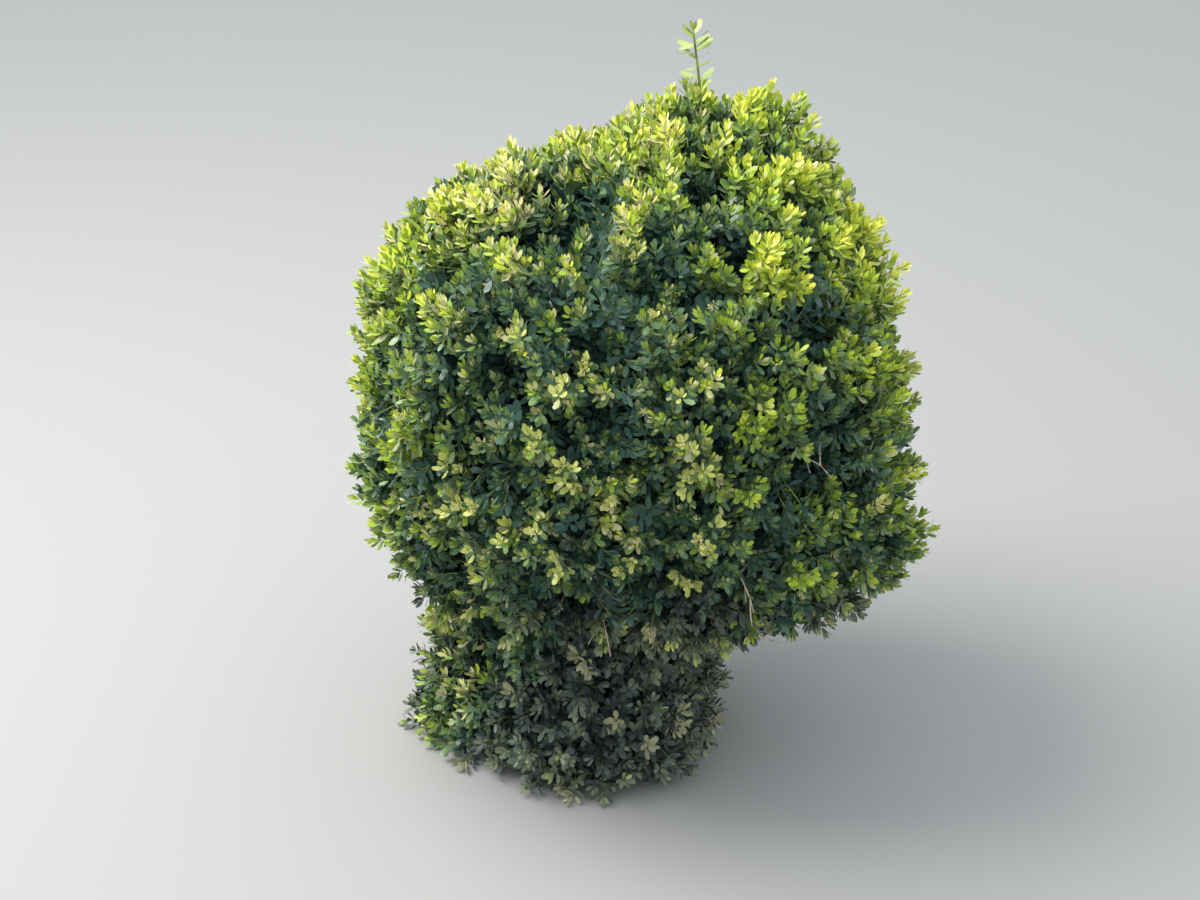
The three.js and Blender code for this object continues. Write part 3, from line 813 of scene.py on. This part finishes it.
spray_out = of_sprays("out")[shoot_sprays]
on_foot = of_sprays("is_foot")[shoot_sprays]
first_across = unit(np.cross(axes[:, 0], unit(dice.normal(size=(shoots, 3)))))
leaf_rows = []
for pair in range(PAIRS):
    axis = axes[:, pair]
    across = square_to(first_across, axis)
    if pair % 2:
        across = np.cross(axis, across)
    for way in (1, -1):
        turn = dice.normal(0, TURN_SPREAD, shoots)[:, None]
        out = unit(way * across * np.cos(turn) + np.cross(axis, way * across) * np.sin(turn))
        angle = PAIR_ANGLES[pair] + dice.normal(0, ANGLE_SPREAD, shoots)
        angle = (angle + np.where(on_foot, FOOT_EXTRA_ANGLE, 0))[:, None]
        along = np.cos(angle) * axis + np.sin(angle) * out
        upper = np.sin(angle) * axis - np.cos(angle) * out
        upper = upper + LIGHT_PULL * (spray_out * LIGHT_FROM_OUTSIDE + UP * LIGHT_FROM_ABOVE)
        upper = upper + dice.normal(0, FACE_SPREAD, (shoots, 3))
        size = LEAF_LENGTH * PAIR_SIZES[pair] * dice.uniform(*LENGTH_SPREAD, shoots)
        leaf_rows.append({
            "foot": stations[:, pair] + out * LEAF_OFFSET, "along": along, "up": square_to(upper, along),
            "length": size * np.where(on_foot, FOOT_LENGTH, 1.0),
            "width": LEAF_WIDTH_SHARE * dice.uniform(*WIDTH_SPREAD, shoots),
            "curl": dice.uniform(*CURL_SPREAD, shoots),
            "pair": np.full(shoots, pair), "shoot": np.arange(shoots)})
leaves = {key: np.concatenate([rows[key] for rows in leaf_rows]) for key in leaf_rows[0]}


# Ages of the leaves, with painted light and shade
# How fresh each leaf is, with painted light and shade mixed in. Sprays on the crown's top and rims are
# lighter, partly as flushed growth and partly as painted light from above and the sides. Those low down, in a
# hollow, sunk deep or on shoots that stop short are darker, as painted shade. The pair at a shoot's tip is
# its newest.
# Low down, old leaves are dull and greyer, partly their own colour and partly painted shade.
# What a shoot's freshness with its painted light and shade starts from, and what adds to it or takes from it.
FRESH_AT_FIRST = 0.165
FLUSH_AND_LIGHT_PER_HEIGHT = 0.30
FLUSH_AND_LIGHT_PER_HEIGHT_SUBDUED = 0.08
HEIGHTS = (0.14, 0.62)
PAINTED_LIGHT_PER_SIDEWAYS = 0.12
PIT_PAINTED_SHADE = 0.20
PER_NOISE = 0.16
FRESH_PATCHES = 0.075
PER_FLUSH = 0.72
PAINTED_SHADE_PER_METRE_SHORT = 10.5
PAINTED_SHADE_PER_METRE_DEEP = 7.0
PROMINENT_CROWN = 0.31
PROMINENT_FOOT = 0.08
SPRAY_SPREAD = 0.11
SHOOT_SPREAD = 0.11
LOW_CROWN_PAINTED_SHADE = 0.10
LOW_CROWN_PAINTED_SHADE_HEIGHTS = (0.30, 0.20)
PER_PAIR = 0.122
LEAF_SPREAD = 0.05
BRIGHT_FROM = 0.40
BRIGHT_SHARE = 0.6
X_AXIS = 0
Z_AXIS = 2
DULL_BELOW = 0.225
DULL_NOISE = 0.06
DULL_PATCHES = 0.04
DULL_SPREAD = 0.045
# Falls are amounts that go off along an axis, from one place on it to another.
DULL_FALLS = ((0.065, X_AXIS, 0.08, 0.17), (0.10, X_AXIS, -0.02, -0.09))
GREEN_TUFT = (-0.155, -0.045, 0.070)
GREEN_TUFT_RADIUS = 0.065
GREEN_TUFT_FALL = 0.20
STRAW_SHARE = 0.55
STRAW_NOISE = 0.35
STRAW_PATCHES = 0.06
STRAW_FALLS = ((0.50, X_AXIS, 0.08, 0.19), (0.45, X_AXIS, -0.10, -0.18), (0.30, Z_AXIS, 0.47, 0.54),
               (0.12, Z_AXIS, 0.32, 0.24))
STRAW_BELOW = 0.57
STRAW_SHORTFALL = 0.010
STRAW_FLUSH = 0.2
STRAW_PAIRS = 4


def fallen(places, falls):
    """How much has gone off at each place, by all these falls together."""
    return sum(amount * ramp_between(places[:, axis], start, end) for amount, axis, start, end in falls)


tips_now = shoot_paths[:, -1]
high = ramp_between(tips_now[:, 2], *HEIGHTS)
flush = flushes_at(tips_now) * (1 - pits[shoot_sprays])
prominent = of_sprays("prominent")
on_prominent = prominent[shoot_sprays]
# Painted light, partly flushed growth: leaves are lighter higher up and towards both sides.
fresh_and_lit = FRESH_AT_FIRST + (FLUSH_AND_LIGHT_PER_HEIGHT + FLUSH_AND_LIGHT_PER_HEIGHT_SUBDUED * ~on_prominent) * high
fresh_and_lit += PAINTED_LIGHT_PER_SIDEWAYS * np.abs(spray_out[:, 0])
# Painted shade: leaves in the seen hollows are darker.
fresh_and_lit -= PIT_PAINTED_SHADE * pits[shoot_sprays]
fresh_and_lit += PER_NOISE * noise_at(tips_now, FRESH_PATCHES, 21.3)
fresh_and_lit += PER_FLUSH * flush
# Painted shade: shoots that stop short of the surface, in clefts and at the edges of domed sprays, are
# darker.
fresh_and_lit -= PAINTED_SHADE_PER_METRE_SHORT * shoot_shortfalls
fresh_and_lit += np.where(on_foot, PROMINENT_FOOT, PROMINENT_CROWN) * on_prominent
fresh_and_lit += dice.normal(0, SPRAY_SPREAD, len(sprays))[shoot_sprays]
# Painted shade: sprays that are sunk deep are darker.
fresh_and_lit -= PAINTED_SHADE_PER_METRE_DEEP * np.maximum(of_sprays("depth")[shoot_sprays], 0)
fresh_and_lit += dice.normal(0, SHOOT_SPREAD, shoots)
# Painted shade, with some age: leaves on the low crown are darker.
fresh_and_lit -= LOW_CROWN_PAINTED_SHADE * ramp_between(tips_now[:, 2], *LOW_CROWN_PAINTED_SHADE_HEIGHTS) * ~on_foot
leaf_fresh_and_lit = fresh_and_lit[leaves["shoot"]] - PER_PAIR * leaves["pair"]
leaf_fresh_and_lit += dice.normal(0, LEAF_SPREAD, len(leaves["pair"]))
leaf_fresh_and_lit = np.where(leaf_fresh_and_lit > BRIGHT_FROM,
                          BRIGHT_FROM + BRIGHT_SHARE * (leaf_fresh_and_lit - BRIGHT_FROM), leaf_fresh_and_lit)

# Low sprays take the dull kinds: partly their own greyer colour and partly painted shade.
border = centres[:, 2] + DULL_NOISE * noise_at(centres, DULL_PATCHES, 12.0)
border += dice.normal(0, DULL_SPREAD, len(sprays)) * ~of_sprays("is_foot")
green_tuft = GREEN_TUFT_FALL * nearness(centres, GREEN_TUFT, GREEN_TUFT_RADIUS)
dull_shaded_spray = border < DULL_BELOW - fallen(centres, DULL_FALLS) - green_tuft
leaf_is_dull_shaded = dull_shaded_spray[shoot_sprays][leaves["shoot"]]

straw_odds = STRAW_SHARE + STRAW_NOISE * noise_at(centres, STRAW_PATCHES, 33.0)
straw_odds -= fallen(centres, STRAW_FALLS)
straw_spray = (dice.random(len(sprays)) < straw_odds) & (centres[:, 2] < STRAW_BELOW) & prominent
straw_shoot = straw_spray[shoot_sprays] & (shoot_shortfalls < STRAW_SHORTFALL) & (flush < STRAW_FLUSH)
leaf_is_straw = straw_shoot[leaves["shoot"]] & (leaves["pair"] < STRAW_PAIRS)


# Old leaves inside
# Leaves last on the twigs inside for a few years, and a few hang on to the limbs between the masses. They
# are larger, plainer and darker than those outside. There are most under hollows, where they close the view.
INNER_LEAVES = 24000
HEART_SHARE = 0.30
THIN_TWIG_SERVES = 20
HOLLOW_REACH = 2.2
HOLLOW_WEIGHT = 2.5
INNER_LENGTH = 0.021
HEART_LENGTH = 1.3
FORWARD_LEAN = 0.5
FACING_UP = 0.5
OLD_FACE_SPREAD = 0.4
LIMB_LEAVES = 2500
LIMB_LEAF_LENGTH = 0.026
LIMB_LEAF_SPREAD = 0.5
LIMB_FACE_SPREAD = 0.6
OLD_LENGTH_SPREAD = (0.8, 1.2)
OLD_WIDTH_SHARE = 0.55


def old_leaves(feet, along, upper, length):
    """Rows of old leaves, from where they sit and the way they point and face."""
    return {"foot": feet, "along": along, "up": square_to(upper, along), "length": length,
            "width": np.full(len(feet), OLD_WIDTH_SHARE), "curl": np.ones(len(feet)),
            "pair": np.full(len(feet), ROUND_PAIRS)}


all_twigs = np.array(twig_paths)
thin = np.array([radii[-1] for radii in twig_radii]) < girth(THIN_TWIG_SERVES)
chance = (1 + HOLLOW_WEIGHT * hollows_near(all_twigs[:, -1], HOLLOW_REACH)) * thin
in_heart = dice.random(INNER_LEAVES) < HEART_SHARE
heart_bearers = dice.choice(np.nonzero(~thin)[0], INNER_LEAVES)
thin_bearers = dice.choice(len(thin), INNER_LEAVES, p=chance / chance.sum())
bearer = np.where(in_heart, heart_bearers, thin_bearers)
step = dice.integers(0, TWIG_POINTS - 1, INNER_LEAVES)
share = dice.random(INNER_LEAVES)[:, None]
before = all_twigs[bearer, step]
after = all_twigs[bearer, step + 1]
twig_way = unit(after - before)
sprout = unit(np.cross(twig_way, dice.normal(size=(INNER_LEAVES, 3))))
along = unit(twig_way * FORWARD_LEAN + sprout)
upper = twig_way + UP * FACING_UP + dice.normal(0, OLD_FACE_SPREAD, (INNER_LEAVES, 3))
length = INNER_LENGTH * dice.uniform(*OLD_LENGTH_SPREAD, INNER_LEAVES) * np.where(in_heart, HEART_LENGTH, 1.0)
on_twigs = old_leaves(before * (1 - share) + after * share, along, upper, length)

limb_dice = np.random.default_rng(23)
limb_mesh = bpy.data.objects["limbs"].data
spots = limb_dice.choice(len(limb_mesh.vertices), LIMB_LEAVES)
outward = vertex_rows(limb_mesh, "normal")[spots]
along = unit(outward + limb_dice.normal(0, LIMB_LEAF_SPREAD, (LIMB_LEAVES, 3)))
upper = UP + limb_dice.normal(0, LIMB_FACE_SPREAD, (LIMB_LEAVES, 3))
length = LIMB_LEAF_LENGTH * limb_dice.uniform(*OLD_LENGTH_SPREAD, LIMB_LEAVES)
on_limbs = old_leaves(vertex_rows(limb_mesh, "co")[spots], along, upper, length)

inner_leaves = {key: np.concatenate([rows, on_limbs[key]]) for key, rows in on_twigs.items()}


# Leaf colours and pieces
# Every leaf has one plain colour, dealt out by its freshness with its painted light and shade: yellow and
# lime at the newest tips, blue green on old leaves, paler straw tints among the crown's, which partly stand
# in for whitish glints as a painted highlight, and duller, greyer ones low down, partly their own colour and
# partly painted shade.
PIECE_LEAVES = 30000
WAXED = 0.08
WORN = 0.12
# Each kind: its name, the least freshness with painted light and shade that it takes, its colour, its
# roughness and its slot.
CROWN_KINDS = (
    ("yellow_tip", 0.60, "#D4D656", 0.42, "new_foliage"),
    ("lime", 0.46, "#B5C53F", 0.42, "new_foliage"),
    ("fresh", 0.32, "#9AAF3F", 0.40, "new_foliage"),
    ("bright", 0.19, "#809A41", 0.38, "foliage"),
    ("mid", 0.06, "#6F874C", 0.36, "foliage"),
    ("mature", -0.10, "#5A744C", 0.31, "foliage"),
    ("old", -0.30, "#4A664E", 0.30, "foliage"),
    ("oldest", -9.0, "#375549", 0.31, "foliage"),
)
# Pale kinds: paler straw tints that partly stand in for whitish glints, a painted highlight.
PALE_HIGHLIGHT_KINDS = (
    ("yellow_tip", 0.60, "#DDD898", 0.42, "new_foliage"),
    ("lime", 0.46, "#CEC889", 0.42, "new_foliage"),
    ("fresh", 0.32, "#B5B27A", 0.40, "new_foliage"),
    ("bright", 0.19, "#999A6C", 0.38, "foliage"),
)
# Dull kinds low down: their own greyer colour, made darker as painted shade.
DULL_SHADED_KINDS = (
    ("lime", 0.44, "#A3AF62", 0.45, "new_foliage"),
    ("leek", 0.26, "#7B895E", 0.45, "shaded_foliage"),
    ("sage", 0.02, "#6C755E", 0.48, "shaded_foliage"),
    ("dull", -0.14, "#566152", 0.48, "shaded_foliage"),
    ("grey_green", -0.36, "#444F49", 0.48, "shaded_foliage"),
    ("shaded", -9.0, "#303B38", 0.48, "shaded_foliage"),
)
# Each kind round the flowers: its name, whether it is for dull sprays, its part of the dice, its colour.
STRAW_KINDS = (("straw", False, 0.5, 1.0, "#CDD07C"), ("olive", False, 0.0, 0.5, "#AFB65F"),
               ("low_straw", True, 0.0, 1.0, "#969570"))
STRAW_ROUGHNESS = 0.5
PALE_HIGHLIGHT_SHARE = 0.52
PALE_HIGHLIGHT_NOISE = 0.25
PALE_HIGHLIGHT_PATCHES = 0.04
PALE_HIGHLIGHT_FALLS = ((0.34, X_AXIS, -0.10, -0.20), (0.40, X_AXIS, 0.06, 0.16), (0.10, Z_AXIS, 0.47, 0.54),
              (0.20, Z_AXIS, 0.585, 0.615))


def box_leaf(name, colour, roughness):
    """Box leaf: leathery, waxed above, so it glints softly where it faces the light. Its colour is plain,
    and faint veins and dimples of a few millimetres roughen and ruffle it."""
    gloss = {"From Min": 0.3, "From Max": 0.7, "To Min": roughness - WAXED, "To Max": roughness + WORN}
    return patterned(name, {"Scale": 330, "Detail": 2}, {"Base Color": linear(colour), "IOR": 1.45},
                     gloss=gloss, ruffle={"Strength": 0.25, "Distance": 0.0006})


def add_leaves(name, chosen, material, replaced):
    """Adds the chosen leaves, in pieces small enough for a file each, numbered from the second on."""
    for first in range(0, len(chosen), PIECE_LEAVES):
        piece_name = "%s_%d" % (name, first // PIECE_LEAVES + 1) if first else name
        mesh = leaf_mesh(piece_name, leaves, chosen[first:first + PIECE_LEAVES])
        add_piece(piece_name, mesh, material, replaced)


# Pale leaves: paler tints, partly a painted highlight for whitish glints.
pale_highlight_odds = PALE_HIGHLIGHT_SHARE + PALE_HIGHLIGHT_NOISE * noise_at(centres, PALE_HIGHLIGHT_PATCHES, 51.0) - fallen(centres, PALE_HIGHLIGHT_FALLS)
leaf_is_pale_highlight = ((dice.random(len(leaves["pair"])) < pale_highlight_odds[shoot_sprays][leaves["shoot"]])
                & (leaf_fresh_and_lit > PALE_HIGHLIGHT_KINDS[-1][1]))
for region, kinds, belongs, masses in (
        ("crown", CROWN_KINDS, ~leaf_is_dull_shaded & ~leaf_is_pale_highlight, CROWN_MASSES),
        ("pale", PALE_HIGHLIGHT_KINDS, ~leaf_is_dull_shaded & leaf_is_pale_highlight, CROWN_MASSES),
        ("low", DULL_SHADED_KINDS, leaf_is_dull_shaded, CROWN_MASSES + FOOT_MASSES)):
    free = belongs & ~leaf_is_straw
    for kind, least, colour, roughness, slot in kinds:
        chosen = np.nonzero(free & (leaf_fresh_and_lit > least))[0]
        free[chosen] = False
        material = box_leaf("box_leaf_%s_%s" % (region, kind), colour, roughness)
        add_leaves("%s_leaves_%s" % (region, kind), chosen, material, masses)

straw_dice = dice.random(len(leaves["pair"]))
for kind, for_dull, least, most, colour in STRAW_KINDS:
    dealt = (straw_dice >= least) & (straw_dice < most)
    chosen = np.nonzero(leaf_is_straw & (leaf_is_dull_shaded == for_dull) & dealt)[0]
    material = box_leaf("box_leaf_%s" % kind, colour, STRAW_ROUGHNESS)
    add_leaves("leaves_%s" % kind, chosen, material, [])

add_piece("inner_leaves", leaf_mesh("inner_leaves", inner_leaves, np.arange(INNER_LEAVES + LIMB_LEAVES)),
          box_leaf("box_leaf_inner", "#35524A", 0.45), CROWN_MASSES + FOOT_MASSES)


# Flowers
# Box flowers in spring: tight tufts, under a centimetre across, of pale tepals with yellow anthers, that
# sit in the leaf axils just below the tips of some shoots.
FLOWER_RADIUS = 0.0036
FLOWER_SPREAD = (0.75, 1.2)
TEPALS = 7
TEPAL_TILTS = (0.25, 1.75)
ANTHERS = 4
ANTHER_TILTS = (0.1, 1.3)
GOLDEN_TURN = 2.39996
OTHER_FLOWERING_SHARE = 0.04
FLOWERS_PER_LEAF = 0.2
LAST_FLOWERING_PAIR = 3
FLOWER_OUT = 0.002
FLOWER_UP = 0.0025
FLOWER_LEAN = 0.4


def rays(count, first_tilt, last_tilt):
    """Directions spread over a dome round +Z, each with a direction across it."""
    tilts = np.linspace(first_tilt, last_tilt, count)
    turns = GOLDEN_TURN * np.arange(count)
    ray = np.stack([np.sin(tilts) * np.cos(turns), np.sin(tilts) * np.sin(turns), np.cos(tilts)], axis=1)
    return ray, np.stack([-np.sin(turns), np.cos(turns), np.zeros(count)], axis=1)


# A tepal is one pointed four-cornered blade, and an anther a small double pyramid at the end of its ray.
ray, beside = rays(TEPALS, *TEPAL_TILTS)
tepal_places = np.stack([0.1 * ray, 0.62 * ray + 0.26 * beside, ray, 0.62 * ray - 0.26 * beside], axis=1)
tepal_faces = np.array([(0, 1, 2, 3)]) + 4 * np.arange(TEPALS)[:, None]
ray, beside = rays(ANTHERS, *ANTHER_TILTS)
third = np.cross(ray, beside)
anther_places = np.stack([0.75 * ray, ray + 0.18 * beside, ray - 0.12 * beside + 0.16 * third,
                          ray - 0.12 * beside - 0.16 * third, 1.25 * ray], axis=1)
anther_faces = np.array([(0, 2, 1), (0, 3, 2), (0, 1, 3), (4, 1, 2), (4, 2, 3), (4, 3, 1)])
anther_faces = (anther_faces[None] + 5 * np.arange(ANTHERS)[:, None, None]).reshape(-1, 3)


def stamped_mesh(name, places, faces, spots, aims, sizes):
    """One mesh with a copy of a small shape at each spot, its +Z turned to the spot's aim."""
    helper = np.where(np.abs(aims[:, 2:]) < 0.9, UP, np.array([1.0, 0, 0]))
    across = unit(np.cross(helper, aims))
    over = np.cross(aims, across)
    frames = np.stack([across, over, aims], axis=1)
    flat = places.reshape(-1, 3)
    stamped = spots[:, None] + sizes[:, None, None] * np.einsum("pk,nkj->npj", flat, frames)
    corners = (faces[None] + len(flat) * np.arange(len(spots))[:, None, None]).reshape(-1, faces.shape[1])
    return new_mesh(name, stamped, corners.tolist(), smooth=False)


flowering = (straw_shoot | (dice.random(shoots) < OTHER_FLOWERING_SHARE)) & ~on_foot
axil = (leaves["pair"] > 0) & (leaves["pair"] <= LAST_FLOWERING_PAIR)
bearing = np.nonzero(flowering[leaves["shoot"]] & axil
                     & (dice.random(len(leaves["pair"])) < FLOWERS_PER_LEAF))[0]
outward = leaves["along"][bearing]
upward = leaves["up"][bearing]
spots = leaves["foot"][bearing] + outward * FLOWER_OUT + upward * FLOWER_UP
aims = unit(upward + FLOWER_LEAN * outward)
sizes = FLOWER_RADIUS * dice.uniform(*FLOWER_SPREAD, len(bearing))

# Box tepals: soft, pale greenish cream and without gloss, a little duller here and there.
tepal = patterned("box_flower_tepal", {"Scale": 250, "Detail": 1},
                  {"Base Color": linear("#D5D19A"), "Specular IOR Level": 0.3},
                  gloss={"To Min": 0.6, "To Max": 0.8})
# Box anthers: dusty clear yellow with pollen, quite matt.
anther = patterned("box_flower_anther", {"Scale": 900, "Detail": 1},
                   {"Base Color": linear("#D9C96A"), "Specular IOR Level": 0.2},
                   gloss={"To Min": 0.8, "To Max": 0.95})
add_piece("flower_tepals", stamped_mesh("flower_tepals", tepal_places, tepal_faces, spots, aims, sizes),
          tepal, [])
add_piece("flower_anthers", stamped_mesh("flower_anthers", anther_places, anther_faces, spots, aims, sizes),
          anther, [])


# Bare twigs
# A few dead twigs stick out of the foot and of the deeper hollows: thin, leafless, bleached by weather,
# each with a few short side twigs.
BARE_TWIGS = 16
BARE_POINTS = 6
BARE_SIDES = 5
BARE_BELOW = 0.26
BARE_HOLLOW_DEPTH = 0.024
BARE_RADII = np.linspace(0.0011, 0.0005, BARE_POINTS)
BARE_REACH = (0.0, 0.012)
BARE_SPREAD = 0.35
BARE_BEND = 0.5
SIDE_TWIG_STARTS = (2, 3, 4)
SIDE_TWIG_RADII = np.linspace(0.0007, 0.0004, BARE_POINTS)
SIDE_TWIG_LENGTHS = (0.014, 0.026)
SIDE_TWIG_COURSE_KEPT = 0.6
SIDE_TWIG_SPREAD = 0.6
SIDE_TWIG_BEND = 0.5
LOWEST_SIDE_TWIG = 0.004
bare_paths = []
bare_radii = []
bare_sprays = [s for s in sprays if s["centre"][2] < BARE_BELOW or s["depth"] > BARE_HOLLOW_DEPTH]
for index in dice.choice(len(bare_sprays), BARE_TWIGS, replace=False):
    spray = bare_sprays[index]
    way = unit(spray["out"] + dice.normal(0, BARE_SPREAD, 3))
    end = spray["centre"] + way * dice.uniform(*BARE_REACH)
    end[2] = max(end[2], LOWEST_TIP)
    arriving = unit(way + dice.normal(0, BARE_BEND, 3))
    path = bent_path(spray["base"], spray["out"], end, arriving, BARE_POINTS)
    bare_paths.append(path)
    bare_radii.append(BARE_RADII)
    for k in SIDE_TWIG_STARTS:
        side = unit(way * SIDE_TWIG_COURSE_KEPT + dice.normal(0, SIDE_TWIG_SPREAD, 3))
        tip = path[k] + side * dice.uniform(*SIDE_TWIG_LENGTHS)
        tip[2] = max(tip[2], LOWEST_SIDE_TWIG)
        bare_paths.append(bent_path(path[k], side, tip, unit(side + way * SIDE_TWIG_BEND), BARE_POINTS))
        bare_radii.append(SIDE_TWIG_RADII)

# Weathered dead box twig: bark gone, grey-beige wood with darker streaks, dull.
dead_wood = patterned("weathered_box_twig", {"Scale": 180, "Detail": 3},
                      {"Roughness": 0.85, "Specular IOR Level": 0.2},
                      stops=((0.38, "#8B7C66"), (0.62, "#C4B79E")))
add_piece("bare_twigs", tube_mesh("bare_twigs", bare_paths, bare_radii, BARE_SIDES), dead_wood,
          [])


# Top shoot
# One long shoot that the shears missed stands on the crown's top: a thin green stem with unevenly
# spaced pairs of large fresh leaves. It replaces the slim CAD solid there.
SPRIG_SLICE = 0.002
SPRIG_ROOTED = 0.03
SPRIG_TIP_ROOM = 0.006
SPRIG_LEAN = np.array([0.1, 0, 1.0])
SPRIG_POINTS = 9
SPRIG_RADII = np.linspace(0.0014, 0.0008, SPRIG_POINTS)
SPRIG_SIDES = 6
SPRIG_LEAF_LENGTH = 0.0188
SPRIG_LEAF_WIDTH = 0.44
SPRIG_LEAF_CURL = 1.2
# Each pair: how far up the stem, at how many degrees from it, and its size.
SPRIG_PAIRS = ((0.30, 70, 0.75), (0.38, 62, 1.10), (0.43, 74, 1.05), (0.56, 70, 0.80), (0.66, 64, 0.95),
               (0.76, 72, 1.15), (0.80, 62, 1.15), (0.86, 66, 1.10), (0.91, 50, 1.00), (0.96, 34, 0.80),
               (1.0, 16, 0.60))
SPRIG_FIRST_TURN = math.radians(42)
SPRIG_TURN_SPREAD = 0.14
SPRIG_ANGLE_SPREAD = 0.18
SPRIG_SIZE_SPREAD = (0.85, 1.15)

sprig_foot = end_of("top_sprig", lambda places: -height(places), SPRIG_SLICE)
sprig_tip = end_of("top_sprig", height, SPRIG_SLICE)
sprig_way = unit(sprig_tip - sprig_foot)
sprig_path = bent_path(sprig_foot - sprig_way * SPRIG_ROOTED, unit(SPRIG_LEAN),
                       sprig_tip - sprig_way * SPRIG_TIP_ROOM, sprig_way, SPRIG_POINTS)
add_piece("top_shoot_stem", tube_mesh("top_shoot_stem", [sprig_path], [SPRIG_RADII], SPRIG_SIDES), green_stem,
          ["top_sprig"])

sprig_rows = []
for number, (share, degrees, size) in enumerate(SPRIG_PAIRS):
    place = np.array([np.interp(share, np.linspace(0, 1, SPRIG_POINTS), sprig_path[:, k]) for k in range(3)])
    turn = SPRIG_FIRST_TURN + number * math.pi / 2 + dice.normal(0, SPRIG_TURN_SPREAD)
    across = unit(np.cross(sprig_way, np.array([math.sin(turn), math.cos(turn), 0])))
    for way in (1, -1):
        angle = math.radians(degrees) + dice.normal(0, SPRIG_ANGLE_SPREAD)
        sprig_rows.append({
            "foot": place, "along": math.cos(angle) * sprig_way + math.sin(angle) * across * way,
            "up": unit(math.sin(angle) * sprig_way - math.cos(angle) * across * way),
            "length": SPRIG_LEAF_LENGTH * size * dice.uniform(*SPRIG_SIZE_SPREAD),
            "width": SPRIG_LEAF_WIDTH, "curl": SPRIG_LEAF_CURL, "pair": 0})
sprig_leaves = {key: np.array([row[key] for row in sprig_rows]) for key in sprig_rows[0]}
add_piece("top_shoot_leaves", leaf_mesh("top_shoot_leaves", sprig_leaves, np.arange(len(SPRIG_PAIRS) * 2)),
          box_leaf("box_leaf_top_shoot", "#93A352", 0.36), ["top_sprig"])
